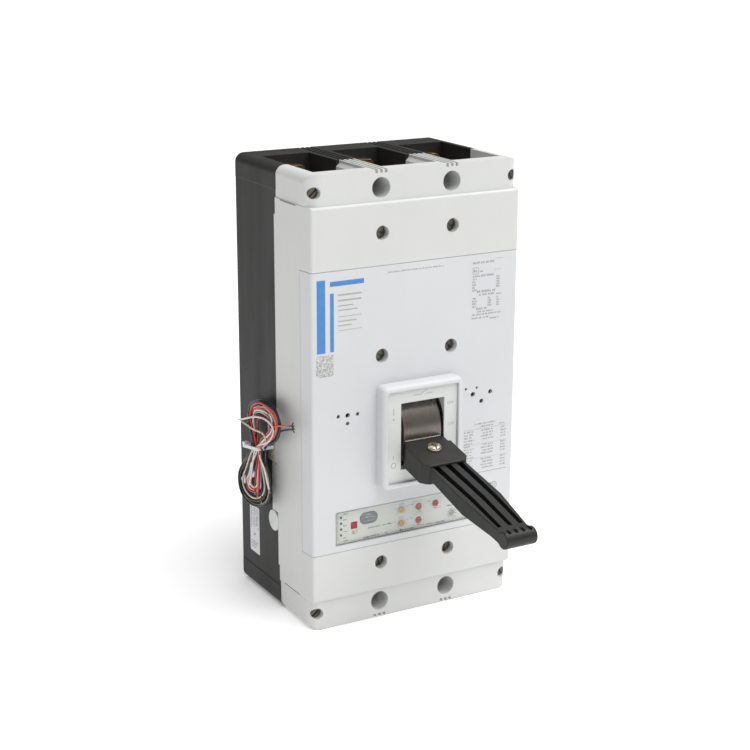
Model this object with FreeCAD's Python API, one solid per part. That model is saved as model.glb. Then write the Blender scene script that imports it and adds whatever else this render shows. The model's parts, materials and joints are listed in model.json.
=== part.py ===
"""Three-pole moulded-case circuit breaker with electronic trip unit and handle extension.

Millimetres. The origin is the centre of the four mounting holes on the back face.
+X is to the right seen from the front, +Y points to the mounting panel, +Z is up.
Depths are measured from a datum plane REAR in front of the back face, so y values are
negative towards the front, and export() moves every part until the back face is at Y 0.
"""

import FreeCAD, Part
import math
import os
from FreeCAD import Vector

# ---------------------------------------------------------------- driving dimensions

# Case
WIDTH = 209.55
HEIGHT = 406.4
REAR = 5.8                    # datum plane to the back face
SPLIT_DEPTH = 75.0            # datum to the parting line of base and cover
FRONT_DEPTH = 138.2           # datum to the main front face
END_DEPTH = 135.6             # datum to the lower front face of the two end sections
END_INSET = 0.975             # base and end sections are narrower than the cover's middle, each side
MIDDLE_TOP = 176.0            # half height of the raised middle section of the cover
SKIRT_TOP = 161.4             # half height of the cover's side skirts, which lap over the base
SKIRT_DEPTH = 72.8
BASE_END = 182.2              # the base is wider above and below this height
BASE_END_PROUD = 0.45
CORNER_R = 8.2                # outline corners, seen from the front
END_CORNER_R = 11.0           # front vertical corners of the end sections
DRAFT_DEPTH = 112.4           # the cover's sides lean inwards in front of this depth
FRONT_HALF_WIDTH = 103.3
WALL = 5.0
COVER_WALL = 3.5
POLE_PITCH = 69.85
POLES = (("a", -POLE_PITCH), ("b", 0.0), ("c", POLE_PITCH))
PARTITION_X = POLE_PITCH / 2
PARTITION = 6.0
CHAMBER_TOP = 157.0           # half height of the pole chambers
CHAMBER_DEPTH = 116.0

# Terminal recesses, open at the two end faces
RECESS_FLOOR = 165.0
RECESS_BACK = 23.5
RECESS_FRONT = 122.0
RECESS_INNER = 24.4           # from the pole centre towards a partition
RECESS_OUTER = 22.5           # from the pole centre towards the case side
RIDGE_HALF = 7.5              # ribbed top of the cover's partitions
RIDGE_DROP = 5.0
GROOVE_PITCH = 4.6
GROOVE = 2.4

# Front accessory cover
SEAM_TOP = 121.6
SEAM_BOTTOM = -132.0
SEAM_DEPTH = 119.6
SEAM_GAP = 0.35
PLATE = 3.0

# Fasteners
MOUNT_X = PARTITION_X
MOUNT_Z = 187.75
MOUNT_R = 5.6
MOUNT_BORE_R = 8.75
SCREW_Z = (149.56, 41.97, -149.56)
SCREW_HEAD_R = 5.6
SCREW_SEAT = 128.6
CORNER_SCREW_X = 97.4
CORNER_HEAD_R = 4.7
CORNER_SEAT = 127.4
HEAD_HEIGHT = 3.7

# Handle escutcheon, the raised frame round the handle window
ESC_DEPTH = 152.0
ESC_HALF = 40.6
ESC_CENTRE_Z = -30.7
ESC_HALF_HEIGHT = 47.0
ESC_RIM = 5.2
ESC_INNER_DEPTH = 149.4
INLAY = 0.8
WINDOW_HALF = 22.0
WINDOW_HALF_HEIGHT = 30.4

# Handle. Lever axes: u runs out along the lever, v is square to it and upwards
PIVOT_Y = -113.0
PIVOT_Z = ESC_CENTRE_Z
OFF_ANGLE = 13.0              # lever below the horizontal at rest, which is OFF
BARREL_R = 36.5
BARREL_WALL = 3.0
BARREL_HALF = 19.0
BARREL_SPAN = 80.0            # each side of the lever
STUB_HALF = 16.0
STUB_TOP = 1.5
STUB_BOTTOM = -13.0
STUB_END = 70.0
PIN_R = 4.0
RUNNING = 0.06                # radial clearance of a pin in its bore
EXT_HALF = 22.7
EXT_NECK_HALF = 19.5
EXT_TOP = 4.2
EXT_BOTTOM = -15.5
EXT_BACK = 39.4
EXT_SHOULDER = 47.0
EXT_FRONT = 81.0
ARM_HALF = 18.2
ARM_TIP_HALF = 14.2
TIP_U = 191.9
TIP_V = -2.2
TIP_R = 7.5
TIP_HALF = 15.0
EXT_SCREW_U = 56.5
RIB_U = 36.9                  # rounded rib on the barrel above the lever's root
RIB_V = 3.2
RIB_R = 1.2
SHIELD_R = 30.0               # dust shields at the barrel's ends
SHIELD_HALF = 24.0

# Contacts
BAR_Y = -56.0                 # crossbar axis
BAR_Z = -5.0
BAR_R = 15.0
OPEN_ANGLE = 35.0             # contacts open at rest
ARM_W = 16.0
CONTACT_Z = 84.0
STRAP_HALF = 16.0
STRAP_BACK = RECESS_BACK
STRAP_T = 9.5
STRAP_END = 194.0
TERMINAL_HOLE_R = 6.75
TERMINAL_Z = 176.5

# Toggle linkage, closed-contact positions of the crossbar pin
LINK_PIN_Y = -76.0
LINK_PIN_Z = -3.0
CRADLE_A = (-89.0, -62.0)     # upper link's fixed pin while the cradle is latched
CRADLE_PIVOT = (-96.0, -72.0)
UPPER_LINK = 29.0
LOWER_LINK = 32.0
LINK_PIN_R = 2.5
KNEE_R = 3.0
KNEE_EYE_R = 5.8              # open pivot of the linkage

# Trip unit
TRIP_HALF = 81.0
TRIP_TOP = -94.2
TRIP_BOTTOM = -126.0
FACE_DEPTH = 136.0
TRIP_BAR_Y = -57.0
TRIP_BAR_Z = -126.0
TRIP_BAR_R = 4.0
BUTTON_X = -61.0
BUTTON_Z = -110.4
PUSH_END = -58.5              # rear end of the button's rod and of the plunger
PADDLE_FACE = -58.2
DIALS = (
    ("1", -12.5, -105.0),
    ("2", -12.5, -117.9),
    ("3", 5.4, -105.0),
    ("4", 5.4, -117.9),
    ("5", 23.1, -105.0),
    ("6", 40.4, -117.6),
)
DIAL_R = 3.0
DIAL_STEM_R = 2.0
PLUNGER_X = 61.0
FLAP_PIN_R = 0.8
FLAP_AXIS = (-137.0, -124.6)
TEST_PORT_X = (-49.6, -42.4)
TEST_PORT_Z = -106.0
TEST_PORT_R = 5.3
LED_X = -74.0
LED_Z = (-101.0, -106.5, -112.0, -117.5)

# Lead hank on the left side
SIDE_X = -WIDTH / 2
HANK_IN = SIDE_X - 1.4
HANK_OUT = HANK_IN - 16.0
LEAD_EXIT = (-64.0, -40.0)    # (y, z) of the grommet's collar
TIE_CENTRE = (-53.5, -52.4)
TIE_TILT = 9.0
TIE_HALF = 14.0               # half the opening of the tie, across the hank
TIE_WIDTH = 2.8
TIE_T = 1.1
SEAL_CENTRE = (-64.6, -121.3)
SEAL_R = 9.6

INNER_HALF = WIDTH / 2 - END_INSET
os.makedirs("parts", exist_ok=True)


# ---------------------------------------------------------------- solid helpers

def box(x0, x1, y0, y1, z0, z1):
    """A block between two corners, given in any order."""
    low = Vector(min(x0, x1), min(y0, y1), min(z0, z1))
    return Part.makeBox(abs(x1 - x0), abs(y1 - y0), abs(z1 - z0), low)


def rod_x(radius, x0, x1, y, z):
    """A round bar along X."""
    return Part.makeCylinder(radius, abs(x1 - x0), Vector(min(x0, x1), y, z), Vector(1, 0, 0))


def rod_y(radius, y0, y1, x, z):
    """A round bar along Y."""
    return Part.makeCylinder(radius, abs(y1 - y0), Vector(x, min(y0, y1), z), Vector(0, 1, 0))


def fused(shapes):
    """One solid out of several that meet."""
    whole = shapes[0].multiFuse(list(shapes[1:]))
    return whole.removeSplitter()


def turned(shape, y, z, degrees):
    """A copy turned about an X axis through (y, z). Positive turns +Z towards -Y."""
    copy = shape.copy()
    copy.rotate(Vector(0, y, z), Vector(1, 0, 0), degrees)
    return copy


def polygon_face(points):
    """A flat face from its corner points."""
    return Part.Face(Part.makePolygon([*points, points[0]]))


def prism_x(outline, x0, x1):
    """A (y, z) outline extruded along X."""
    face = polygon_face([Vector(min(x0, x1), y, z) for y, z in outline])
    return face.extrude(Vector(abs(x1 - x0), 0, 0))


def prism_z(outline, z0, z1):
    """An (x, y) outline extruded along Z."""
    face = polygon_face([Vector(x, y, min(z0, z1)) for x, y in outline])
    return face.extrude(Vector(0, 0, abs(z1 - z0)))


def rounded_block(x0, x1, y0, y1, z0, z1, radius):
    """A block whose four edges along Y are rounded."""
    block = box(x0, x1, y0, y1, z0, z1)
    edges = [e for e in block.Edges if abs(e.tangentAt(e.FirstParameter).y) > 0.9]
    return block.makeFillet(radius, edges)


def lever_point(u, v, angle=OFF_ANGLE):
    """(y, z) of a point in the lever's own axes, with the lever at angle below the horizontal."""
    a = math.radians(angle)
    y = PIVOT_Y - u * math.cos(a) - v * math.sin(a)
    z = PIVOT_Z - u * math.sin(a) + v * math.cos(a)
    return y, z


def lever_prism(outline, x0, x1):
    """A (u, v) outline in the lever's axes extruded along X."""
    return prism_x([lever_point(u, v) for u, v in outline], x0, x1)


def lever_box(u0, u1, v0, v1, x0, x1):
    """A block in the lever's axes."""
    return lever_prism([(u0, v0), (u1, v0), (u1, v1), (u0, v1)], x0, x1)


def link_bar(start, end, radius, x0, x1):
    """A flat link with round ends between two (y, z) pins."""
    dy = end[0] - start[0]
    dz = end[1] - start[1]
    length = math.hypot(dy, dz)
    ny = -dz / length * radius
    nz = dy / length * radius
    sides = [
        (start[0] + ny, start[1] + nz),
        (end[0] + ny, end[1] + nz),
        (end[0] - ny, end[1] - nz),
        (start[0] - ny, start[1] - nz),
    ]
    return fused([prism_x(sides, x0, x1), rod_x(radius, x0, x1, *start), rod_x(radius, x0, x1, *end)])


def bent_strip(points, thickness, x0, x1):
    """A strip that follows (y, z) points, rounded at its bends."""
    half = thickness / 2
    runs = [link_bar(a, b, half, x0, x1) for a, b in zip(points, points[1:])]
    return fused(runs) if len(runs) > 1 else runs[0]


def export(name, shape):
    """Writes one sub-part, moved from the datum plane to the back face."""
    shape.translate(Vector(0, -REAR, 0))
    shape.exportStep(f"parts/{name}.step")
    print(f"{name:26s} solids {len(shape.Solids):3d}  volume {shape.Volume / 1000:9.2f} cm3")


def group(shapes):
    """Separate solids that share one node."""
    return Part.makeCompound(list(shapes))


# ---------------------------------------------------------------- positions used by several parts

def mirrored_corners(x, z):
    """The four (x, z) places of a pattern centred on the origin."""
    return [(sx * x, sz * z) for sx in (-1, 1) for sz in (-1, 1)]


COVER_SCREWS = [(sx * PARTITION_X, z) for sx in (-1, 1) for z in SCREW_Z]
CORNER_SCREWS = mirrored_corners(CORNER_SCREW_X, MOUNT_Z)


def recess_span(x):
    """Left and right wall of the terminal recess of the pole at x."""
    left = RECESS_OUTER if x < 0 else RECESS_INNER
    right = RECESS_OUTER if x > 0 else RECESS_INNER
    return x - left, x + right


def chamber_span(x):
    """Left and right wall of the pole chamber at x."""
    side = INNER_HALF - WALL
    half = PARTITION / 2
    if x < 0:
        return -side, -PARTITION_X - half
    if x > 0:
        return PARTITION_X + half, side
    return -PARTITION_X + half, PARTITION_X - half


def toggle_knee(share):
    """(y, z) of the knee pin with the contacts open (share 0) or closed (share 1)."""
    b = link_pin(share)
    dy = b[0] - CRADLE_A[0]
    dz = b[1] - CRADLE_A[1]
    span = math.hypot(dy, dz)
    along = (UPPER_LINK**2 - LOWER_LINK**2 + span**2) / (2 * span)
    across = math.sqrt(UPPER_LINK**2 - along**2)
    y = CRADLE_A[0] + along * dy / span - across * dz / span
    z = CRADLE_A[1] + along * dz / span + across * dy / span
    return y, z


def link_pin(share):
    """(y, z) of the pin that joins the lower link to the crossbar."""
    a = math.radians(OPEN_ANGLE * (1 - share))
    dy = LINK_PIN_Y - BAR_Y
    dz = LINK_PIN_Z - BAR_Z
    return (
        BAR_Y + dy * math.cos(a) - dz * math.sin(a),
        BAR_Z + dy * math.sin(a) + dz * math.cos(a),
    )


# ---------------------------------------------------------------- case

def partition_grooves(y0, y1):
    """Barrier grooves along the end edges of both partitions."""
    cuts = []
    for sx in (-1, 1):
        for step in (-1, 0, 1):
            x = sx * PARTITION_X + step * GROOVE_PITCH
            for z in (HEIGHT / 2 - 3.0, -HEIGHT / 2 - 1.0):
                cuts.append(box(x - GROOVE / 2, x + GROOVE / 2, y0, y1, z, z + 4.0))
    return cuts


def base_housing():
    """Black base with pole partitions, terminal recesses and mounting holes."""
    wide = INNER_HALF + BASE_END_PROUD
    body = rounded_block(-wide, wide, REAR, -SPLIT_DEPTH, -HEIGHT / 2, HEIGHT / 2, CORNER_R)
    back_rim = [e for e in body.Edges if e.CenterOfMass.y > REAR - 0.1]
    body = body.makeFillet(1.0, back_rim)
    cuts = []
    for sx in (-1, 1):
        cuts.append(
            box(sx * INNER_HALF, sx * WIDTH, REAR + 1, -SPLIT_DEPTH - 1, -BASE_END, BASE_END)
        )
    for _, x in POLES:
        x0, x1 = chamber_span(x)
        cuts.append(box(x0, x1, -WALL, -SPLIT_DEPTH - 1, -CHAMBER_TOP, CHAMBER_TOP))
        r0, r1 = recess_span(x)
        for end in (-1, 1):
            cuts.append(
                box(r0, r1, -RECESS_BACK, -SPLIT_DEPTH - 1, end * RECESS_FLOOR, end * (HEIGHT / 2 + 1))
            )
            slot_half = STRAP_HALF + 0.2
            slot_back = STRAP_BACK
            slot_front = STRAP_BACK + STRAP_T + 0.2
            cuts.append(
                box(x - slot_half, x + slot_half, -slot_back, -slot_front,
                    end * (CHAMBER_TOP - 1), end * (RECESS_FLOOR + 1))
            )
            cuts.append(rod_y(9.0, -RECESS_BACK + 12.0, -RECESS_BACK - 1, x, end * TERMINAL_Z))
    for x, z in mirrored_corners(MOUNT_X, MOUNT_Z):
        cuts.append(rod_y(MOUNT_R, REAR + 1, -SPLIT_DEPTH - 1, x, z))
        cuts.append(rod_y(MOUNT_BORE_R, -SPLIT_DEPTH + 20, -SPLIT_DEPTH - 1, x, z))
    cuts += partition_grooves(REAR + 1, -SPLIT_DEPTH - 1)
    body = body.cut(cuts[0].multiFuse(cuts[1:]))

    bosses = [rod_y(6.5, -40, -SPLIT_DEPTH, x, z) for x, z in COVER_SCREWS]
    body = fused([body, *bosses])

    late = [rod_y(2.75, -44, -SPLIT_DEPTH - 1, x, z) for x, z in COVER_SCREWS]
    late += [rod_y(2.55, -48, -SPLIT_DEPTH - 1, x, z) for x, z in CORNER_SCREWS]
    bar_half = BAR_R + 0.8
    for sx in (-1, 1):
        x0 = sx * (PARTITION_X - PARTITION)
        x1 = sx * (PARTITION_X + PARTITION)
        late.append(box(x0, x1, BAR_Y, -SPLIT_DEPTH - 1, BAR_Z - bar_half, BAR_Z + bar_half))
        late.append(rod_x(bar_half, x0, x1, BAR_Y, BAR_Z))
        late.append(box(x0, x1, TRIP_BAR_Y + 6.0, -SPLIT_DEPTH - 1, -133.0, -85.0))
    late.append(box(SIDE_X - 1, SIDE_X + 12, -53.6, -SPLIT_DEPTH - 1, -65.4, -27.6))
    late.append(cover_tab(0.2))
    return body.cut(late[0].multiFuse(late[1:]))


def cover_tab(margin):
    """Tab of the cover's left skirt that closes the base's side below the lead block."""
    return box(
        SIDE_X - margin, -INNER_HALF + 1.8 + margin, -62.0 + margin, -SPLIT_DEPTH - margin,
        -111.4 - margin, -65.6 + margin,
    )


def cover_envelope():
    """Outer form of the whole cover, the accessory cover's share included."""
    half = HEIGHT / 2
    ends = rounded_block(-INNER_HALF, INNER_HALF, -SPLIT_DEPTH, -END_DEPTH, -half, half, CORNER_R)
    front_edges = box(-INNER_HALF, INNER_HALF, -SPLIT_DEPTH, -END_DEPTH, -half, half)
    vertical = [
        e for e in front_edges.Edges
        if abs(e.tangentAt(e.FirstParameter).z) > 0.9 and e.CenterOfMass.y < -END_DEPTH + 1
    ]
    ends = ends.common(front_edges.makeFillet(END_CORNER_R, vertical))
    middle = prism_z(
        [
            (-WIDTH / 2, -SPLIT_DEPTH),
            (-WIDTH / 2, -DRAFT_DEPTH),
            (-FRONT_HALF_WIDTH, -FRONT_DEPTH),
            (FRONT_HALF_WIDTH, -FRONT_DEPTH),
            (WIDTH / 2, -DRAFT_DEPTH),
            (WIDTH / 2, -SPLIT_DEPTH),
        ],
        -MIDDLE_TOP,
        MIDDLE_TOP,
    )
    rims = [
        e for e in middle.Edges
        if e.CenterOfMass.y < -FRONT_DEPTH + 0.1
    ]
    middle = middle.makeFillet(2.4, rims)
    left = box(-WIDTH / 2, -INNER_HALF, -SKIRT_DEPTH, -SPLIT_DEPTH - 1, -SKIRT_TOP, SKIRT_TOP)
    right = box(INNER_HALF, WIDTH / 2, -SKIRT_DEPTH, -SPLIT_DEPTH - 1, -SKIRT_TOP, SKIRT_TOP)
    return fused([ends, middle, left, right, cover_tab(0.0)])


def main_cover(envelope):
    """White main cover: front wall, end sections, partitions and chamber roofs."""
    cuts = []
    for _, x in POLES:
        x0, x1 = chamber_span(x)
        cuts.append(box(x0, x1, -SPLIT_DEPTH + 1, -CHAMBER_DEPTH, -CHAMBER_TOP, CHAMBER_TOP))
        cuts.append(box(x0, x1, -CHAMBER_DEPTH + 1, -134.2, SEAM_TOP + 3.5, CHAMBER_TOP))
        cuts.append(box(x0, x1, -CHAMBER_DEPTH + 1, -134.2, SEAM_BOTTOM - 3.5, -CHAMBER_TOP))
        r0, r1 = recess_span(x)
        for end in (-1, 1):
            cuts.append(
                box(r0, r1, -SPLIT_DEPTH + 1, -RECESS_FRONT, end * RECESS_FLOOR, end * (HEIGHT / 2 + 1))
            )
    for sx in (-1, 1):
        for end in (-1, 1):
            for side in (-1, 1):
                cuts.append(ridge_relief(sx * PARTITION_X, side, end))
    cuts.append(
        box(-WIDTH, WIDTH, -SEAM_DEPTH, -FRONT_DEPTH - 1, SEAM_BOTTOM, SEAM_TOP)
    )
    body = envelope.cut(cuts[0].multiFuse(cuts[1:]))

    bosses = []
    for x, z in COVER_SCREWS:
        roof = -SEAM_DEPTH if abs(z) < SEAM_TOP else -136.0
        bosses.append(rod_y(7.5, -SPLIT_DEPTH, roof, x, z))
    body = fused([body, *bosses])

    late = partition_grooves(-SPLIT_DEPTH + 1, -FRONT_DEPTH - 1)
    for x, z in mirrored_corners(MOUNT_X, MOUNT_Z):
        late.append(rod_y(MOUNT_BORE_R, -SPLIT_DEPTH + 1, -FRONT_DEPTH - 1, x, z))
    for x, z in COVER_SCREWS:
        late.append(rod_y(2.75, -SPLIT_DEPTH + 1, -FRONT_DEPTH - 1, x, z))
        if abs(z) > SEAM_TOP:
            late.append(rod_y(SCREW_HEAD_R + 0.6, -SCREW_SEAT, -FRONT_DEPTH - 1, x, z))
    for x, z in CORNER_SCREWS:
        late.append(rod_y(2.55, -SPLIT_DEPTH + 1, -FRONT_DEPTH - 1, x, z))
        late.append(rod_y(CORNER_HEAD_R + 0.3, -CORNER_SEAT, -FRONT_DEPTH - 1, x, z))
    late.append(box(-31.5, 31.5, -CHAMBER_DEPTH + 1, -FRONT_DEPTH, -84.0, 22.0))
    late.append(box(-86.0, 86.0, -SPLIT_DEPTH + 1, -FRONT_DEPTH, -131.4, -85.0))
    bar_half = BAR_R + 0.8
    for sx in (-1, 1):
        x0 = sx * (PARTITION_X - PARTITION)
        x1 = sx * (PARTITION_X + PARTITION)
        late.append(box(x0, x1, -SPLIT_DEPTH + 1, -SPLIT_DEPTH - 6, BAR_Z - bar_half, BAR_Z + bar_half))
        x_side = sx * WIDTH / 2
        for end in (-1, 1):
            z = end * 175.3
            late.append(box(x_side - 1.6, x_side + 1.6, -84.6, -114.2, z - 0.45, z + 0.45))
    return body.cut(late[0].multiFuse(late[1:]))


def ridge_relief(x, side, end):
    """Sloped shoulder beside the ribbed edge of a cover partition."""
    inner = x + side * RIDGE_HALF
    outer = x + side * 12.0
    top = end * (HEIGHT / 2 + 1)
    shoulder = end * (HEIGHT / 2 - RIDGE_DROP)
    outline = [
        Vector(inner, -SPLIT_DEPTH, top),
        Vector(outer, -SPLIT_DEPTH, top),
        Vector(outer, -SPLIT_DEPTH, shoulder - end * 2.0),
        Vector(inner, -SPLIT_DEPTH, shoulder + end * 2.5),
    ]
    return polygon_face(outline).extrude(Vector(0, SPLIT_DEPTH - RECESS_FRONT, 0))


def escutcheon():
    """Raised frame round the handle window, solid except for the window itself."""
    z0 = ESC_CENTRE_Z - ESC_HALF_HEIGHT
    z1 = ESC_CENTRE_Z + ESC_HALF_HEIGHT
    frame = rounded_block(-ESC_HALF, ESC_HALF, -FRONT_DEPTH + PLATE, -ESC_DEPTH, z0, z1, 5.0)
    rim = [
        e for e in frame.Edges
        if e.CenterOfMass.y < -ESC_DEPTH + 0.1
    ]
    frame = frame.makeFillet(4.2, rim)
    inner = ESC_HALF - ESC_RIM
    pocket = rounded_block(
        -inner, inner, -ESC_INNER_DEPTH + INLAY, -ESC_DEPTH - 1, z0 + ESC_RIM, z1 - ESC_RIM, 1.5
    )
    frame = frame.cut(pocket)
    lip = [
        e for e in frame.Edges
        if e.BoundBox.YLength < 0.01 and e.CenterOfMass.y < -ESC_DEPTH + 0.1
        and max(abs(e.CenterOfMass.x), abs(e.CenterOfMass.z - ESC_CENTRE_Z) - 6.4) < inner + 0.1
    ]
    return frame.makeFillet(0.8, lip)


def barrel_relief():
    """Hollow behind the handle frame that the barrel turns in."""
    half = ESC_HALF - 4.0
    relief = rod_x(BARREL_R + 1.1, -half, half, PIVOT_Y, PIVOT_Z)
    floor = -ESC_INNER_DEPTH + 2 * INLAY
    return relief.common(box(-half, half, 0, floor, -200, 200))


def accessory_cover(envelope):
    """Front cover over the accessory pockets, with the handle frame and trip unit opening."""
    gap = SEAM_GAP
    slab = envelope.common(
        box(-WIDTH, WIDTH, -SEAM_DEPTH - gap, -FRONT_DEPTH - 1, SEAM_BOTTOM + gap, SEAM_TOP - gap)
    )
    side = FRONT_HALF_WIDTH - PLATE
    slab = slab.cut(
        box(-side, side, -SEAM_DEPTH + 1, -FRONT_DEPTH + PLATE, SEAM_BOTTOM + 3.5, SEAM_TOP - 3.5)
    )
    bosses = [
        rod_y(8.5, -SEAM_DEPTH - gap, -FRONT_DEPTH + 1, x, z)
        for x, z in COVER_SCREWS if abs(z) < SEAM_TOP
    ]
    body = fused([slab, escutcheon(), *bosses])

    cuts = [
        box(-WINDOW_HALF, WINDOW_HALF, -SEAM_DEPTH, -ESC_DEPTH - 1,
            ESC_CENTRE_Z - WINDOW_HALF_HEIGHT, ESC_CENTRE_Z + WINDOW_HALF_HEIGHT),
        barrel_relief(),
        rounded_block(-TRIP_HALF, TRIP_HALF, -SEAM_DEPTH, -FRONT_DEPTH - 1, TRIP_BOTTOM, TRIP_TOP, 1.0),
        rod_x(FLAP_PIN_R + RUNNING, -TRIP_HALF - 2.2, TRIP_HALF + 2.2, *FLAP_AXIS),
    ]
    for x, z in COVER_SCREWS:
        if abs(z) < SEAM_TOP:
            cuts.append(rod_y(2.75, -SEAM_DEPTH + 1, -FRONT_DEPTH - 1, x, z))
            cuts.append(rod_y(SCREW_HEAD_R + 0.6, -SCREW_SEAT, -FRONT_DEPTH - 1, x, z))
    holes = (
        (-77.8, -6.8, 1.7), (-58.9, -7.0, 1.7), (-68.7, -14.3, 1.7), (-68.7, -6.9, 2.2),
        (51.6, -1.1, 1.2), (63.1, -1.1, 1.2), (59.1, -6.9, 2.3), (77.7, -6.8, 2.1), (68.5, -14.4, 2.1),
    )
    for x, z, radius in holes:
        cuts.append(rod_y(radius, -SEAM_DEPTH, -FRONT_DEPTH - 1, x, z))
    return body.cut(cuts[0].multiFuse(cuts[1:]))


def indicator_plate():
    """Thin inlay of the handle frame that carries the ON and OFF marks."""
    inner = ESC_HALF - ESC_RIM - 0.25
    z0 = ESC_CENTRE_Z - ESC_HALF_HEIGHT + ESC_RIM + 0.25
    z1 = ESC_CENTRE_Z + ESC_HALF_HEIGHT - ESC_RIM - 0.25
    plate = rounded_block(-inner, inner, -ESC_INNER_DEPTH + INLAY, -ESC_INNER_DEPTH, z0, z1, 1.5)
    window = box(
        -WINDOW_HALF, WINDOW_HALF, -ESC_INNER_DEPTH + 2, -ESC_INNER_DEPTH - 1,
        ESC_CENTRE_Z - WINDOW_HALF_HEIGHT, ESC_CENTRE_Z + WINDOW_HALF_HEIGHT,
    )
    return plate.cut(window)


# ---------------------------------------------------------------- fasteners

def slotted_screw(x, z, seat, head_r, shank_r, tip, slot_angle):
    """Cheese-head screw along Y, head towards the front."""
    head = rod_y(head_r, -seat, -seat - HEAD_HEIGHT, x, z)
    rim = [e for e in head.Edges if e.CenterOfMass.y < -seat - HEAD_HEIGHT + 0.1 and e.Closed]
    head = head.makeFillet(0.7, rim)
    shank = rod_y(shank_r, -tip, -seat, x, z)
    slot = box(x - head_r, x + head_r, -seat - HEAD_HEIGHT + 1.6, -seat - HEAD_HEIGHT - 1, z - 0.7, z + 0.7)
    slot.rotate(Vector(x, 0, z), Vector(0, 1, 0), slot_angle)
    return fused([head, shank]).cut(slot)


def cover_screws():
    """Six screws that hold the covers to the base."""
    return group(
        slotted_screw(x, z, SCREW_SEAT, SCREW_HEAD_R, 2.6, 46.0, 55.0 + 0.2 * (x - z))
        for x, z in COVER_SCREWS
    )


def corner_screws():
    """Four screws in the corners of the end sections."""
    return group(
        slotted_screw(x, z, CORNER_SEAT, CORNER_HEAD_R, 2.4, 50.0, -40.0 if x < 0 else 60.0)
        for x, z in CORNER_SCREWS
    )


# ---------------------------------------------------------------- conductors and contacts

def conductor(x, end, inner_z):
    """Copper strap from a terminal hole at one end of the case to inner_z."""
    tip = end * STRAP_END
    strap = rounded_block(
        x - STRAP_HALF, x + STRAP_HALF, -STRAP_BACK, -STRAP_BACK - STRAP_T, inner_z, tip, 4.0
    )
    return strap.cut(rod_y(TERMINAL_HOLE_R, 0, -SPLIT_DEPTH, x, end * TERMINAL_Z))


def fixed_contacts():
    """Silver pads on the line conductors."""
    face = -STRAP_BACK - STRAP_T
    return group(
        box(x - 8, x + 8, face, face - 4.0, CONTACT_Z - 8, CONTACT_Z + 8) for _, x in POLES
    )


def closed_arm(x):
    """Contact arm in its closed position."""
    back = -41.0
    front = -53.0
    arm = prism_x(
        [(back, -33), (front, -33), (front, 80), (-50, 92), (back, 92)], x - ARM_W / 2, x + ARM_W / 2
    )
    return arm.cut(rod_x(LINK_PIN_R + 0.05, x - 20, x + 20, -47.0, BAR_Z))


def closed_pin(x):
    """Pin that holds an arm in the crossbar, closed position."""
    return rod_x(LINK_PIN_R, x - 12, x + 12, -47.0, BAR_Z)


def opened(shape):
    """A shape of the crossbar body turned from closed to open contacts."""
    return turned(shape, BAR_Y, BAR_Z, OPEN_ANGLE)


def moving_contacts():
    """Silver pads at the ends of the contact arms."""
    pads = [box(x - 6, x + 6, -37.8, -41.0, CONTACT_Z - 5, CONTACT_Z + 5) for _, x in POLES]
    return group(opened(p) for p in pads)


def crossbar():
    """Moulded bar that turns the three arms together, with the ears of the toggle linkage."""
    bar = rod_x(BAR_R, -INNER_HALF + WALL + 1.5, INNER_HALF - WALL - 1.5, BAR_Y, BAR_Z)
    ears = [
        link_bar((BAR_Y, BAR_Z), (LINK_PIN_Y, LINK_PIN_Z), 7.0, s * 7.0, s * 12.0) for s in (-1, 1)
    ]
    body = fused([bar, *ears])
    cuts = []
    for _, x in POLES:
        half = ARM_W / 2
        cuts.append(box(x - half, x + half, -41.0, -53.0, -33, 60))
        cuts.append(rod_x(LINK_PIN_R + 0.05, x - 12, x + 12, -47.0, BAR_Z))
    cuts.append(rod_x(LINK_PIN_R + 0.05, -14, 14, LINK_PIN_Y, LINK_PIN_Z))
    cuts.append(box(-6.4, 6.4, -62.0, -90.0, -24, 20))
    return opened(body.cut(cuts[0].multiFuse(cuts[1:])))


def flexible_shunts():
    """Braids from the arms' tails to the load conductors."""
    rest = -STRAP_BACK - STRAP_T - 2.3
    path = [(-36.0, -34.0), (-43.0, -36.3), (-46.5, -44.0), (-43.5, -52.0), (rest, -56.0), (rest, -72.0)]
    return group(bent_strip(path, 4.6, x - 7, x + 7) for _, x in POLES)


def arc_plates():
    """Steel splitter plates over the path of each arm's tip."""
    plates = []
    for _, x in POLES:
        for step in range(9):
            y = -50.0 - 7.0 * step
            plate = box(x - 23, x + 23, y, y - 2.0, 62, 150)
            notch = box(x - 11, x + 11, y + 1, y - 3, 61, 96)
            throat = rod_y(11, y + 1, y - 3, x, 96)
            plates.append(plate.cut(notch).cut(throat))
    return group(plates)


def arc_cheeks():
    """Fibre side walls that hold the splitter plates."""
    cheeks = []
    for _, x in POLES:
        for side in (-1, 1):
            x0 = x + side * 23.0
            cheeks.append(box(x0, x0 + side * 2.2, -WALL, -112, 62, 150))
    return group(cheeks)


# ---------------------------------------------------------------- handle

def sector(r0, r1, half_angle, x0, x1):
    """Part of a ring about the handle pivot, centred on the lever at rest."""
    ring = rod_x(r1, x0, x1, PIVOT_Y, PIVOT_Z)
    if r0 > 0:
        ring = ring.cut(rod_x(r0, x0, x1, PIVOT_Y, PIVOT_Z))
    reach = 3 * r1
    a = math.radians(half_angle)
    tip = (reach * math.cos(a), reach * math.sin(a))
    wedge = lever_prism(
        [(0, 0), (tip[0], -tip[1]), (reach, -reach), (reach, reach), (tip[0], tip[1])], x0, x1
    )
    return ring.common(wedge)


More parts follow.
